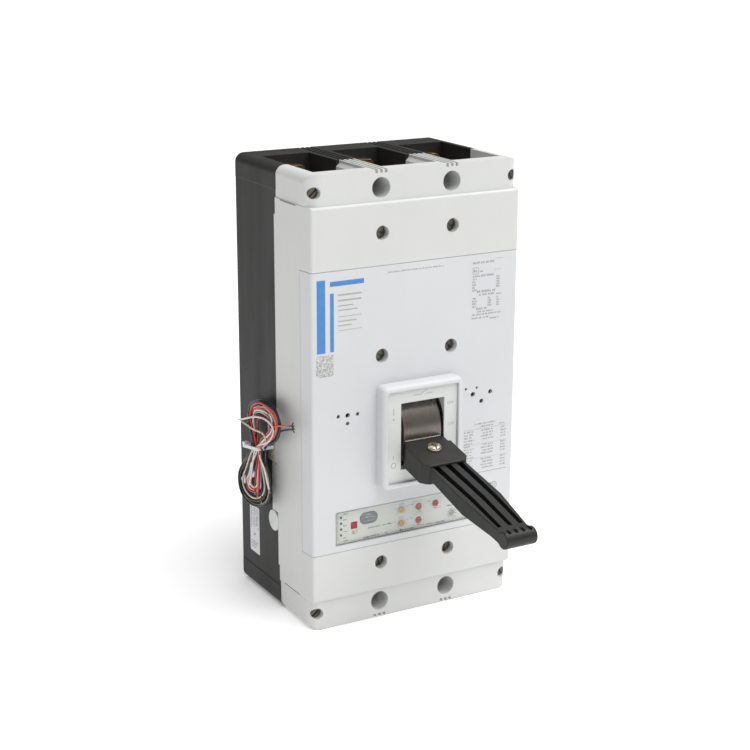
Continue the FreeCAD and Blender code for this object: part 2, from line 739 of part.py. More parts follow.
def toggle_handle():
    """Black operating handle: barrel behind the window, hubs and lever stub."""
    shell = sector(BARREL_R - BARREL_WALL, BARREL_R, BARREL_SPAN, -BARREL_HALF, BARREL_HALF)
    stub = lever_box(BARREL_R - 1.5, STUB_END, STUB_BOTTOM, STUB_TOP, -STUB_HALF, STUB_HALF)
    pieces = [shell, stub]
    for side in (-1, 1):
        x0 = side * STUB_HALF
        x1 = side * BARREL_HALF
        pieces.append(lever_box(0, BARREL_R - 1.5, -9, 9, x0, x1))
        pieces.append(rod_x(9.0, x0, x1, PIVOT_Y, PIVOT_Z))
        pieces.append(rod_x(SHIELD_R, x1, side * SHIELD_HALF, PIVOT_Y, PIVOT_Z))
    rib_y, rib_z = lever_point(RIB_U, RIB_V)
    pieces.append(rod_x(RIB_R, -BARREL_HALF + 0.8, BARREL_HALF - 0.8, rib_y, rib_z))
    body = fused(pieces)
    y, z = lever_point(EXT_SCREW_U, STUB_TOP)
    down = Vector(0, math.sin(math.radians(OFF_ANGLE)), -math.cos(math.radians(OFF_ANGLE)))
    start = Vector(0, y, z) - down * 1.0
    bore = rod_x(PIN_R + RUNNING, -30, 30, PIVOT_Y, PIVOT_Z)
    return body.cut(bore).cut(Part.makeCylinder(3.1, 14.0, start, down))


def handle_yoke():
    """Steel strip inside the barrel that the toggle springs hook onto."""
    strip = lever_box(28.0, 32.5, -7, 7, -15.7, 15.7)
    hooks = [lever_box(24.0, 28.0, -1.5, 1.5, s * 11.0, s * 13.0) for s in (-1, 1)]
    return fused([strip, *hooks])


def handle_pivot_pins():
    """Two stub pins between the side plates and the handle's hubs."""
    return group(rod_x(PIN_R, s * 16.2, s * 31.0, PIVOT_Y, PIVOT_Z) for s in (-1, 1))


def arm_edge(edge):
    """True for the long edges of the extension's arm."""
    start, end = edge.Vertexes[0].Point, edge.Vertexes[-1].Point
    return edge.Length > 40.0 and abs(start.x - end.x) < 10.0


def box_edge(edge):
    """True for the top and corner edges of the extension's box."""
    middle = edge.valueAt((edge.FirstParameter + edge.LastParameter) / 2)
    a = math.radians(OFF_ANGLE)
    out = PIVOT_Y - middle.y
    up = middle.z - PIVOT_Z
    u = out * math.cos(a) - up * math.sin(a)
    v = out * math.sin(a) + up * math.cos(a)
    if not EXT_SHOULDER - 0.5 < u < EXT_FRONT + 0.5:
        return False
    return v > EXT_TOP - 0.1 or (abs(middle.x) > EXT_HALF - 0.1 and v > -10.0)


def handle_extension():
    """Lever that slides over the handle stub, with finger grooves and a round tip."""
    plan = [
        (EXT_BACK, EXT_NECK_HALF),
        (EXT_SHOULDER, EXT_NECK_HALF),
        (EXT_SHOULDER, EXT_HALF),
        (EXT_FRONT - 6.5, EXT_HALF),
        (EXT_FRONT, ARM_HALF),
        (136.0, ARM_HALF + 0.3),
        (184.5, ARM_TIP_HALF),
        (TIP_U, ARM_TIP_HALF),
    ]
    outline = [*plan, *[(u, -x) for u, x in reversed(plan)]]
    low = -40.0
    corners = []
    for u, x in outline:
        y, z = lever_point(u, low)
        corners.append(Vector(x, y, z))
    up = Vector(0, -math.sin(math.radians(OFF_ANGLE)), math.cos(math.radians(OFF_ANGLE)))
    footprint = polygon_face(corners).extrude(up * 80.0)
    profile = [
        (EXT_BACK, EXT_TOP), (EXT_FRONT, EXT_TOP), (EXT_FRONT, 1.9), (137.0, 3.4), (184.0, 2.2),
        (TIP_U, 4.2), (TIP_U, -8.6), (181.0, -8.1), (137.0, -10.8), (88.0, -9.0), (84.5, -12.2),
        (80.0, -14.6), (74.0, EXT_BOTTOM), (EXT_BACK, EXT_BOTTOM),
    ]
    body = footprint.common(lever_prism(profile, -40, 40))
    body = body.makeFillet(0.9, [e for e in body.Edges if arm_edge(e)])
    body = body.makeFillet(1.2, [e for e in body.Edges if box_edge(e)])
    tip_y, tip_z = lever_point(TIP_U, TIP_V)
    tip = rod_x(TIP_R, -TIP_HALF, TIP_HALF, tip_y, tip_z)
    tip = tip.makeFillet(1.2, [e for e in tip.Edges if e.Closed and len(e.Vertexes) == 1])
    body = fused([body, tip])

    pocket = lever_box(
        EXT_BACK - 1, STUB_END + 0.5, STUB_BOTTOM - 0.25, STUB_TOP + 0.25,
        -STUB_HALF - 0.25, STUB_HALF + 0.25,
    )
    cuts = [pocket]
    for x in (-12.0, 0.0, 12.0):
        cuts.append(finger_groove(x))
    for step in range(4):
        x = -10.2 + 6.8 * step
        cuts.append(lever_box(TIP_U - 4.5, TIP_U + 2.5, 3.2, 8.0, x - 1.5, x + 1.5))
    y, z = lever_point(EXT_SCREW_U, EXT_TOP + 1)
    hole = Part.makeCylinder(3.4, 5.0, Vector(0, y, z), up * -1.0)
    cuts.append(hole)
    return body.cut(cuts[0].multiFuse(cuts[1:]))


def finger_groove(x):
    """Long tapering groove in the top of the extension arm."""
    start = EXT_FRONT - 2.0
    end = 180.0
    narrow = x * 0.86
    wide_half = 2.9
    tip_half = 1.9
    side = [(start, 8.0), (end, 8.0), (end, 2.0), (end - 6.0, -1.5), (start, -5.5)]
    body = lever_prism(side, -40, 40)
    corners = []
    for u, cx, half in ((start, x, wide_half), (end, narrow, tip_half)):
        for s in (-1, 1):
            corners.append((u, cx + s * half))
    ordered = [corners[0], corners[2], corners[3], corners[1]]
    points = []
    for u, px in ordered:
        y, z = lever_point(u, -40.0)
        points.append(Vector(px, y, z))
    up = Vector(0, -math.sin(math.radians(OFF_ANGLE)), math.cos(math.radians(OFF_ANGLE)))
    wall = polygon_face(points).extrude(up * 80.0)
    under_plate = lever_box(start - 1, EXT_FRONT, 1.9, 8.0, -40, 40)
    return body.common(wall).cut(under_plate)


def extension_screw():
    """Pan-head screw that clamps the extension to the stub."""
    a = math.radians(OFF_ANGLE)
    up = Vector(0, -math.sin(a), math.cos(a))
    y, z = lever_point(EXT_SCREW_U, EXT_TOP)
    seat = Vector(0, y, z)
    head = Part.makeCylinder(6.5, 4.4, seat, up)
    rim = [e for e in head.Edges if e.Closed and (e.CenterOfMass - seat).dot(up) > 4.0]
    head = head.makeFillet(3.2, rim)
    shank = Part.makeCylinder(3.0, 13.5, seat - up * 13.5, up)
    slot_low = EXT_TOP + 2.9
    slot = lever_box(EXT_SCREW_U - 0.8, EXT_SCREW_U + 0.8, slot_low, slot_low + 4.0, -8, 8)
    slot.rotate(seat, up, 75)
    return fused([head, shank]).cut(slot)


# ---------------------------------------------------------------- mechanism

def side_plates():
    """Steel frame plates of the operating mechanism."""
    outline = [
        (-WALL, -24), (-30, -24), (-34, -40), (-60, -40), (-74, -26), (-78, 6), (-92, 18),
        (-118, 18), (-123, 12), (-123, -74), (-112, -82), (-86, -82), (-68, -66), (-30, -66), (-WALL, -66),
    ]
    plates = []
    for side in (-1, 1):
        x0 = side * 26.0
        x1 = side * 28.5
        plate = prism_x(outline, x0, x1)
        holes = [
            rod_x(BAR_R + 2.0, x0, x1, BAR_Y, BAR_Z),
            rod_x(PIN_R, x0, x1, PIVOT_Y, PIVOT_Z),
            rod_x(LINK_PIN_R, x0, x1, *CRADLE_PIVOT),
        ]
        holes += [rod_x(3.0, x0, x1, y, z) for y, z in STAY_RODS]
        plates.append(plate.cut(holes[0].multiFuse(holes[1:])))
    return group(plates)


STAY_RODS = ((-14.0, -50.0), (-112.0, 12.0), (-116.0, -76.0))


def stay_rods():
    """Spacers that tie the side plates together."""
    rods = []
    for y, z in STAY_RODS:
        rods.append(rod_x(3.0, -28.5, 28.5, y, z))
    return group(rods)


def cradle():
    """Latched lever that anchors the toggle linkage until a trip releases it."""
    tip = (-67.0, -68.0)
    arms = fused([
        link_bar(CRADLE_PIVOT, CRADLE_A, 5.5, -3, 3),
        link_bar(CRADLE_PIVOT, tip, 4.0, -3, 3),
        link_bar(CRADLE_A, tip, 4.0, -3, 3),
    ])
    return arms.cut(rod_x(LINK_PIN_R, -5, 5, *CRADLE_PIVOT)).cut(rod_x(LINK_PIN_R, -5, 5, *CRADLE_A))


def cradle_pin():
    """Axle of the cradle between the side plates."""
    return rod_x(LINK_PIN_R, -28.5, 28.5, *CRADLE_PIVOT)


def upper_link_pin():
    """Pin in the cradle that the two upper links swing on."""
    return rod_x(LINK_PIN_R, -11.0, 11.0, *CRADLE_A)


def upper_links():
    """Pair of upper toggle links."""
    knee = toggle_knee(0)
    links = []
    for side in (-1, 1):
        x0 = side * 7.4
        x1 = side * 10.4
        bar = link_bar(CRADLE_A, knee, 5.0, x0, x1)
        bar = bar.cut(rod_x(LINK_PIN_R + RUNNING, x0, x1, *CRADLE_A))
        links.append(bar.cut(rod_x(KNEE_R, x0, x1, *knee)))
    return group(links)


def knee_pin():
    """Pin at the knee of the toggle linkage."""
    return rod_x(KNEE_R, -13.0, 13.0, *toggle_knee(0))


def lower_link():
    """Single lower toggle link, open with clearance round the knee pin."""
    knee = toggle_knee(0)
    low = link_pin(0)
    bar = link_bar(low, knee, 5.0, -5.6, 5.6)
    eye = rod_x(8.8, -5.6, 5.6, *knee)
    body = fused([bar, eye]).cut(rod_x(KNEE_EYE_R, -6, 6, *knee))
    return body.cut(rod_x(LINK_PIN_R + RUNNING, -6, 6, *low))


def lower_link_pin():
    """Pin that joins the lower link to the crossbar's ears."""
    return rod_x(LINK_PIN_R, -12.5, 12.5, *link_pin(0))


def toggle_springs():
    """Pair of tension springs from the knee pin to the handle's yoke, as ribbed outer forms."""
    knee = toggle_knee(0)
    anchor = lever_point(24.0, 0.0)
    start = Vector(0, *knee)
    axis = Vector(0, *anchor) - start
    length = axis.Length
    axis.normalize()
    first = 6.4
    last = length - 0.8
    turns = 12
    pitch = (last - first) / turns
    springs = []
    for side in (-1, 1):
        foot = Vector(side * 12.0, start.y, start.z)
        rings = []
        for n in range(turns):
            low = foot + axis * (first + n * pitch)
            rings.append(Part.makeCylinder(3.1, pitch * 0.62, low, axis))
            rings.append(Part.makeCylinder(2.5, pitch, low, axis))
        springs.append(fused(rings))
    return group(springs)


# ---------------------------------------------------------------- trip unit

def trip_housing():
    """Box of the electronic trip unit, behind the front window."""
    body = box(-84.0, 84.0, -62.0, -131.0, -128.0, -86.0)
    hollow = box(-81.5, 81.5, -64.5, -128.5, -125.5, -88.5)
    sleeve = rod_y(6.0, -62.0, -131.0, BUTTON_X, BUTTON_Z)
    shell = fused([body.cut(hollow), sleeve])
    cuts = [
        rod_y(3.6, -60, -133, BUTTON_X, BUTTON_Z),
        rod_y(4.5, -127, -133, BUTTON_X, BUTTON_Z),
        rod_y(2.9, -60, -66, PLUNGER_X, BUTTON_Z),
    ]
    for _, x, z in DIALS:
        cuts.append(rod_y(DIAL_STEM_R + RUNNING, -127, -133, x, z))
    return shell.cut(cuts[0].multiFuse(cuts[1:]))


def trip_faceplate():
    """Printed front plate of the trip unit, with the dial and button openings."""
    plate = box(-83.0, 83.0, -131.0, -133.0, -128.0, -91.0)
    raised = box(-TRIP_HALF + 0.4, TRIP_HALF - 0.4, -133.0, -135.2, TRIP_BOTTOM + 0.4, TRIP_TOP - 0.4)
    body = fused([plate, raised])
    cuts = [
        box(BUTTON_X - 3.2, BUTTON_X + 3.2, -130, -137, BUTTON_Z - 3.2, BUTTON_Z + 3.2),
        oblong(*TEST_PORT_X, TEST_PORT_Z, TEST_PORT_R + 0.3, -133.6, -137),
    ]
    for _, x, z in DIALS:
        cuts.append(rod_y(DIAL_R + 0.3, -133.2, -137, x, z))
        cuts.append(rod_y(DIAL_STEM_R + RUNNING, -130, -137, x, z))
    for z in LED_Z:
        cuts.append(rod_y(1.25, -133.4, -137, LED_X, z))
    return body.cut(cuts[0].multiFuse(cuts[1:]))


def oblong(x0, x1, z, radius, y0, y1):
    """A slot shape along X with round ends, as a bar along Y."""
    return fused([
        rod_y(radius, y0, y1, x0, z),
        rod_y(radius, y0, y1, x1, z),
        box(x0, x1, y0, y1, z - radius, z + radius),
    ])


def test_port_cover():
    """Smoked cover of the test port."""
    return oblong(*TEST_PORT_X, TEST_PORT_Z, TEST_PORT_R, -133.6, -135.6)


def status_leds():
    """Column of indicator lamps at the left of the faceplate."""
    return group(rod_y(1.1, -133.4, -135.5, LED_X, z) for z in LED_Z)


def dial(x, z):
    """Rotary setting switch with a screwdriver slot and an arrow nose."""
    disc = rod_y(DIAL_R, -133.5, -135.8, x, z)
    stem = rod_y(DIAL_STEM_R, -128.2, -133.5, x, z)
    slot = box(x - 2.6, x + 2.6, -135.0, -137, z - 0.55, z + 0.55)
    notch = box(x - 0.5, x + 0.5, -135.2, -137, z + 1.4, z + 4)
    return fused([disc, stem]).cut(slot).cut(notch)


def trip_button():
    """Red push-to-trip button with its rod to the trip bar."""
    cap = box(BUTTON_X - 2.9, BUTTON_X + 2.9, -131.0, -136.0, BUTTON_Z - 2.9, BUTTON_Z + 2.9)
    rod = rod_y(3.2, PUSH_END, -131.0, BUTTON_X, BUTTON_Z)
    return fused([cap, rod])


def trip_window_cover():
    """Clear flap over the trip unit, hinged along its lower edge, with a hole for the button."""
    y_back = -FACE_DEPTH - 0.2
    y_front = -FACE_DEPTH - 1.8
    flap = rounded_block(
        -TRIP_HALF + 0.5, TRIP_HALF - 0.5, y_back, y_front, TRIP_BOTTOM + 0.5, TRIP_TOP - 0.5, 1.5
    )
    hole = rod_y(4.5, -130, -140, BUTTON_X, BUTTON_Z)
    pins = [
        rod_x(FLAP_PIN_R, s * (TRIP_HALF - 2), s * (TRIP_HALF + 1.8), *FLAP_AXIS) for s in (-1, 1)
    ]
    return fused([flap.cut(hole), *pins])


def trip_bar():
    """Sprung bar across the poles: paddles for button and plunger, long hook over the cradle."""
    half = INNER_HALF - WALL - 2
    bar = rod_x(TRIP_BAR_R, -half, half, TRIP_BAR_Y, TRIP_BAR_Z)
    paddles = [
        box(x - 5, x + 5, PADDLE_FACE, PADDLE_FACE + 2.8, TRIP_BAR_Z, -103.0)
        for x in (BUTTON_X, PLUNGER_X)
    ]
    arm = box(-4, 4, PADDLE_FACE, PADDLE_FACE + 2.8, TRIP_BAR_Z, -60.5)
    hook = box(-4, 4, PADDLE_FACE, -66.0, -63.5, -60.5)
    return fused([bar, *paddles, arm, hook])


def trip_actuator():
    """Flux-shift solenoid body inside the trip unit."""
    body = rod_y(9.0, -70.0, -104.0, PLUNGER_X, BUTTON_Z)
    body = fused([body, box(PLUNGER_X - 9, PLUNGER_X + 9, -70, -104, BUTTON_Z, -88.5)])
    return body.cut(rod_y(2.6, -60, -98, PLUNGER_X, BUTTON_Z))


def actuator_plunger():
    """Plunger that pushes the trip bar."""
    return rod_y(2.5, PUSH_END, -94.0, PLUNGER_X, BUTTON_Z)


def current_transformers():
    """Ring cores round the load conductors."""
    rings = []
    for _, x in POLES:
        core = rounded_block(x - 27.0, x + 27.0, -WALL, -47.0, -124.0, -96.0, 3.0)
        half = STRAP_HALF + 1.2
        core = core.cut(box(x - half, x + half, -STRAP_BACK + 1.2, -STRAP_BACK - STRAP_T - 1.2, -125, -95))
        rings.append(core)
    return group(rings)


def auxiliary_switch():
    """Snap-action switch block whose leads leave the case in the left pocket."""
    body = box(-96.0, -58.0, -SEAM_DEPTH, -134.5, 50.0, 100.0)
    return body.makeFillet(1.5, body.Edges)


# ---------------------------------------------------------------- left side

def lead_exit_block():
    """Cream grommet block in the left side, with the collar that the leads leave by."""
    body = box(SIDE_X + 0.2, SIDE_X + 8, -54.0, -SKIRT_DEPTH + 0.1, -65.0, -28.0)
    collar = rod_x(6.0, HANK_IN, SIDE_X + 0.5, *LEAD_EXIT)
    return fused([body, collar])


def tie_frame(y_half, z_half, x0, x1):
    """A block centred on the tie and tilted with it."""
    y, z = TIE_CENTRE
    block = box(x0, x1, y - y_half, y + y_half, z - z_half, z + z_half)
    return turned(block, y, z, -TIE_TILT)


def lead_hank():
    """Outer form of the tied hank: two lobes with a waist where the tie holds it."""
    outline = [
        (-29, -30), (-35, -14), (-57, -8), (-86, -9), (-98, -20), (-68, -46),
        (-68, -60), (-80, -88), (-70, -107), (-46, -114), (-14, -113), (-4, -98),
        (-12, -78), (-39, -60), (-39, -48),
    ]
    body = prism_x(outline, HANK_OUT, HANK_IN)
    corners = [e for e in body.Edges if abs(e.tangentAt(e.FirstParameter).x) > 0.9]
    body = body.makeFillet(4.0, corners)
    rim = [e for e in body.Edges if e.CenterOfMass.x < HANK_OUT + 0.1]
    body = body.makeFillet(3.5, rim)
    band = tie_frame(80, TIE_WIDTH / 2, HANK_OUT - 5, HANK_IN + 5)
    held = tie_frame(TIE_HALF, TIE_WIDTH, HANK_OUT + 1.0, HANK_IN - 0.8)
    return body.cut(band.cut(held)).cut(tie_head(0.4))


def tie_head(margin):
    """Square head of the tie, grown by margin all round."""
    y, z = TIE_CENTRE
    x0 = HANK_OUT + 2.0
    start = y + TIE_HALF + TIE_T
    head = box(
        x0 - margin, x0 + 4.4 + margin, start, start + 5.6 + margin, z - 2.6 - margin, z + 2.6 + margin
    )
    return turned(head, y, z, -TIE_TILT)


def hank_cable_tie():
    """Tie strap round the waist of the hank, with its square head."""
    x0 = HANK_OUT + 1.0
    x1 = HANK_IN - 0.8
    ring = tie_frame(TIE_HALF + TIE_T, TIE_WIDTH / 2, x0 - TIE_T, x1 + TIE_T)
    ring = ring.cut(tie_frame(TIE_HALF, TIE_WIDTH, x0, x1))
    return fused([ring, tie_head(0.0)])


def side_seal():
    """White inspection seal on the left side, half on the base and half on the skirt."""
    cap = rod_x(SEAL_R, SIDE_X - 0.5, SIDE_X, *SEAL_CENTRE)
    foot = rod_x(SEAL_R, SIDE_X - 0.1, -INNER_HALF, *SEAL_CENTRE)
    beside_skirt = box(-WIDTH, 0, 0, -SKIRT_DEPTH + 0.1, -HEIGHT, -111.5)
    return fused([cap, foot.common(beside_skirt)])


# ---------------------------------------------------------------- build

def build():
    """Makes and writes every sub-part."""
    envelope = cover_envelope()
    export("base_housing", base_housing())
    export("main_cover", main_cover(envelope))
    export("accessory_cover", accessory_cover(envelope))
    export("indicator_plate", indicator_plate())
    export("cover_screws", cover_screws())
    export("corner_screws", corner_screws())
    for name, x in POLES:
        export(f"line_conductor_{name}", conductor(x, 1, 66.0))
        export(f"load_conductor_{name}", conductor(x, -1, -58.0))
        arm = opened(closed_arm(x))
        export(f"contact_arm_{name}", arm)
    export("fixed_contacts", fixed_contacts())
    export("moving_contacts", moving_contacts())
    export("contact_arm_pins", group(opened(closed_pin(x)) for _, x in POLES))
    export("crossbar", crossbar())
    export("flexible_shunts", flexible_shunts())
    export("arc_chute_plates", arc_plates())
    export("arc_chute_cheeks", arc_cheeks())
    export("toggle_handle", toggle_handle())
    export("handle_yoke", handle_yoke())
    export("handle_pivot_pins", handle_pivot_pins())
    export("handle_extension", handle_extension())
    export("extension_screw", extension_screw())
    export("mechanism_side_plates", side_plates())
    export("mechanism_stay_rods", stay_rods())
    export("cradle", cradle())
    export("cradle_pin", cradle_pin())
    export("upper_link_pin", upper_link_pin())
    export("upper_links", upper_links())
    export("knee_pin", knee_pin())
    export("lower_link", lower_link())
    export("lower_link_pin", lower_link_pin())
    export("toggle_springs", toggle_springs())
    export("trip_unit_housing", trip_housing())
    export("trip_unit_faceplate", trip_faceplate())
    export("test_port_cover", test_port_cover())
    export("status_leds", status_leds())
    for name, x, z in DIALS:
        export(f"setting_dial_{name}", dial(x, z))
    export("trip_button", trip_button())
    export("trip_window_cover", trip_window_cover())
    export("trip_bar", trip_bar())
    export("trip_actuator", trip_actuator())
    export("actuator_plunger", actuator_plunger())
    export("current_transformers", current_transformers())
    export("auxiliary_switch", auxiliary_switch())
    export("lead_exit_block", lead_exit_block())
    export("lead_hank", lead_hank())
    export("hank_cable_tie", hank_cable_tie())
    export("side_seal", side_seal())


build()
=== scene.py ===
import json
import math
import random

import bmesh
import bpy
from mathutils import Matrix, Vector


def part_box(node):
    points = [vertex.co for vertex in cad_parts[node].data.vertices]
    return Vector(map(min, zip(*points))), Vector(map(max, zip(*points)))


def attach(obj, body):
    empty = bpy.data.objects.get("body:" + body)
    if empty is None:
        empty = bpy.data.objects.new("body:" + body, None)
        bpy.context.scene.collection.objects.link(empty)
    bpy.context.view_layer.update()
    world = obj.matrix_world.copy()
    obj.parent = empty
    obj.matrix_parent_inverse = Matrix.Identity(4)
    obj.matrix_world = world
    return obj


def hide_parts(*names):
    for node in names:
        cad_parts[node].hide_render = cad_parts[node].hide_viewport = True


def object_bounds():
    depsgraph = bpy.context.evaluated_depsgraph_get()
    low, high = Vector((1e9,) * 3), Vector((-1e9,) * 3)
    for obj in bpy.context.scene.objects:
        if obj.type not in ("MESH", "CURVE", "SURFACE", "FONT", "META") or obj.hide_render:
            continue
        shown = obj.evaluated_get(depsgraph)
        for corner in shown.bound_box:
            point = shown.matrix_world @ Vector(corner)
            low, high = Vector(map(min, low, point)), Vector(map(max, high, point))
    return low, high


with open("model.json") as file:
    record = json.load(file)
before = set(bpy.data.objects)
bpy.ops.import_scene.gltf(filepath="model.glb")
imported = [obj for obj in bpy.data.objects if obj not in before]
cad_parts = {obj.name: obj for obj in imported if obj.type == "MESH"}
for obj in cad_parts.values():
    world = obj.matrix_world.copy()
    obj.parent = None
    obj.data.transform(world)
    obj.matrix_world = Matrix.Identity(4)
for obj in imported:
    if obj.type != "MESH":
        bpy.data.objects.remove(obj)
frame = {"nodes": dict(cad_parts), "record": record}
NODES = frame["nodes"]
CAD_BOX = [list(corner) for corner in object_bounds()]
MM = 0.001

# ---------------------------------------------------------------- camera

CAMERA_AT = Vector((-0.7134, -1.3275, 0.4249))
CAMERA_TURN = math.radians(-29.57)
CAMERA_RISE = math.radians(16.351)
CAMERA_ROLL = math.radians(0.188)
CAMERA_LENS = 78.94


def add_camera():
    """Camera at the picture's viewing angle."""
    turn, rise = CAMERA_TURN, CAMERA_RISE
    back = Vector((
        math.sin(turn) * math.cos(rise), -math.cos(turn) * math.cos(rise), math.sin(rise)
    ))
    right = Vector((0, 0, 1)).cross(back).normalized()
    up = back.cross(right)
    axes = Matrix((right, up, back)).transposed() @ Matrix.Rotation(CAMERA_ROLL, 3, "Z")
    camera = bpy.data.objects.new("camera", bpy.data.cameras.new("camera"))
    camera.data.lens = CAMERA_LENS
    camera.data.sensor_width = 36.0
    camera.data.clip_end = 60.0
    camera.matrix_world = Matrix.Translation(CAMERA_AT) @ axes.to_4x4()
    bpy.context.scene.collection.objects.link(camera)
    bpy.context.scene.camera = camera


add_camera()

# ---------------------------------------------------------------- shader building


def srgb(red, green, blue):
    """Linear colour of an sRGB colour given from 0 to 255."""
    values = []
    for value in (red, green, blue):
        value /= 255
        values.append(value / 12.92 if value < 0.04045 else ((value + 0.055) / 1.055) ** 2.4)
    return (*values, 1.0)


def shade(colour, factor):
    """A colour made darker or lighter."""
    return (*[min(1.0, channel * factor) for channel in colour[:3]], 1.0)


class Shader:
    """A Principled material while its nodes are wired up."""

    def __init__(self, name, metallic=0.0, **sockets):
        self.material = bpy.data.materials.new(name)
        self.material.use_nodes = True
        self.tree = self.material.node_tree
        self.surface = self.tree.nodes["Principled BSDF"]
        self.surface.inputs["Metallic"].default_value = metallic
        for socket, value in sockets.items():
            self.surface.inputs[socket.replace("_", " ")].default_value = value
        self.coords = self.node("ShaderNodeTexCoord").outputs["Object"]

    def node(self, kind, inputs=None, **settings):
        """Adds a node; an input is a value or another node's output."""
        made = self.tree.nodes.new(kind)
        for key, value in settings.items():
            setattr(made, key, value)
        for key, value in (inputs or {}).items():
            if isinstance(value, bpy.types.NodeSocket):
                self.tree.links.new(value, made.inputs[key])
            else:
                made.inputs[key].default_value = value
        return made

    def link(self, socket, value):
        """Feeds an output to one of the surface's sockets."""
        self.tree.links.new(value, self.surface.inputs[socket])

    def stretched(self, scale):
        """Object coordinates scaled by a vector."""
        mapping = self.node("ShaderNodeMapping", {"Vector": self.coords, "Scale": scale})
        return mapping.outputs["Vector"]

    def noise(self, scale, detail=3.0, coords=None):
        made = self.node(
            "ShaderNodeTexNoise",
            {"Vector": coords or self.coords, "Scale": scale, "Detail": detail},
        )
        return made.outputs["Fac"]

    def math(self, operation, first, second=0.0):
        made = self.node("ShaderNodeMath", {0: first, 1: second}, operation=operation)
        return made.outputs[0]

    def spread(self, value, low, high, start=0.3, end=0.7):
        """Maps a value from start..end to low..high."""
        inputs = {
            "Value": value, "From Min": start, "From Max": end, "To Min": low, "To Max": high
        }
        return self.node("ShaderNodeMapRange", inputs).outputs["Result"]

    def mix(self, factor, first, second, blend="MIX"):
        made = self.node("ShaderNodeMix", data_type="RGBA", blend_type=blend)
        sockets = ((made.inputs[0], factor), (made.inputs[6], first), (made.inputs[7], second))
        for socket, value in sockets:
            if isinstance(value, bpy.types.NodeSocket):
                self.tree.links.new(value, socket)
            else:
                socket.default_value = value
        return made.outputs[2]

    def soft_edges(self, radius):
        """Normal that rounds the edges, and a mask that is 1 on them."""
        bevel = self.node("ShaderNodeBevel", {"Radius": radius}, samples=6).outputs["Normal"]
        flat = self.node("ShaderNodeNewGeometry").outputs["Normal"]
        across = self.node("ShaderNodeVectorMath", {0: bevel, 1: flat}, operation="DOT_PRODUCT")
        mask = self.spread(across.outputs["Value"], 1.0, 0.0, 0.80, 0.995)
        return bevel, mask

    def corners(self, distance):
        """Mask that is 1 in tight corners, from ambient occlusion, for painted shade."""
        made = self.node("ShaderNodeAmbientOcclusion", {"Distance": distance}, samples=6)
        return self.spread(made.outputs["AO"], 1.0, 0.0, 0.25, 0.9)

    def bump(self, height, distance, normal=None, strength=1.0):
        inputs = {"Height": height, "Distance": distance, "Strength": strength}
        if normal is not None:
            inputs["Normal"] = normal
        made = self.node("ShaderNodeBump", inputs)
        return made.outputs["Normal"]


def moulded(name, colour, roughness=0.5, tint=0.03, grain=0.02, pitch=0.7, edge=0.6,
            wear_and_highlight=0.25, corner_shade=0.25, lift=1.25, **sockets):
    """Moulded plastic: cloudy colour, spark-eroded grain, rounded edges lightened partly as wear and partly
    as painted highlight, painted shade in tight corners.
    """
    shader = Shader(name, **sockets)
    cloud = shader.noise(14.0, 5.0)
    streak = shader.noise(1.0, 4.0, shader.stretched((60.0, 60.0, 9.0)))
    fine = shader.noise(1000.0 / pitch, 2.0)
    base = shader.mix(shader.spread(cloud, 0, 1), shade(colour, 1 - tint), shade(colour, 1 + tint))
    base = shader.mix(shader.spread(streak, 0.0, 0.5, 0.45, 0.75), base, shade(colour, 1 - 1.6 * tint))
    normal, edges = shader.soft_edges(edge * MM)
    # Edges lightened by lift: partly rubbed wear, partly a painted highlight along the rounded edges.
    worn_and_highlit = shader.math("MULTIPLY", edges, shader.spread(cloud, 0.3 * wear_and_highlight, wear_and_highlight))
    base = shader.mix(worn_and_highlit, base, shade(colour, lift))
    # Painted shade: colour darkened towards 55 % in tight corners found by ambient occlusion.
    painted_corner_shade = shader.math("MULTIPLY", shader.corners(0.006), corner_shade)
    base = shader.mix(painted_corner_shade, base, shade(colour, 0.55))
    shader.link("Base Color", base)
    rough = shader.spread(streak, roughness - 0.05, roughness + 0.06)
    shader.link("Roughness", shader.math("SUBTRACT", rough, shader.math("MULTIPLY", edges, 0.12)))
    shader.link("Normal", shader.bump(fine, grain * MM, normal))
    return shader.material


def metal(name, colour, roughness=0.3, brush=(900.0, 60.0, 60.0), tint=0.10, scratch=0.01,
          edge=0.3, stain=0.35, stain_colour=None, **sockets):
    """Plated or bare metal: brush marks, stains and brighter edges."""
    shader = Shader(name, metallic=1.0, **sockets)
    marks = shader.noise(1.0, 3.0, shader.stretched(brush))
    blot = shader.noise(70.0, 6.0)
    base = shader.mix(shader.spread(marks, 0, 1), shade(colour, 1 - tint), shade(colour, 1 + tint))
    dull = shader.spread(blot, 0.0, stain, 0.5, 0.72)
    base = shader.mix(dull, base, stain_colour or shade(colour, 0.6))
    normal, edges = shader.soft_edges(edge * MM)
    base = shader.mix(shader.math("MULTIPLY", edges, 0.5), base, shade(colour, 1.35))
    shader.link("Base Color", base)
    rough = shader.spread(marks, roughness - 0.07, roughness + 0.08)
    shader.link("Roughness", shader.math("ADD", rough, shader.math("MULTIPLY", dull, 0.3)))
    shader.link("Normal", shader.bump(marks, scratch * MM, normal))
    return shader.material


def insulation(name, colour, roughness=0.38):
    """Wire insulation: faint colour bands, handling marks, a slightly uneven skin, and painted shade in tight
    corners.
    """
    shader = Shader(name)
    cloud = shader.noise(160.0, 4.0)
    fine = shader.noise(1500.0, 2.0)
    base = shader.mix(shader.spread(cloud, 0, 1), shade(colour, 0.82), shade(colour, 1.12))
    # Painted shade: colour darkened towards 35 % in tight corners found by ambient occlusion.
    painted_corner_shade = shader.math("MULTIPLY", shader.corners(0.002), 0.5)
    shader.link("Base Color", shader.mix(painted_corner_shade, base, shade(colour, 0.35)))
    shader.link("Roughness", shader.spread(cloud, roughness - 0.08, roughness + 0.1))
    shader.link("Normal", shader.bump(fine, 0.012 * MM))
    return shader.material


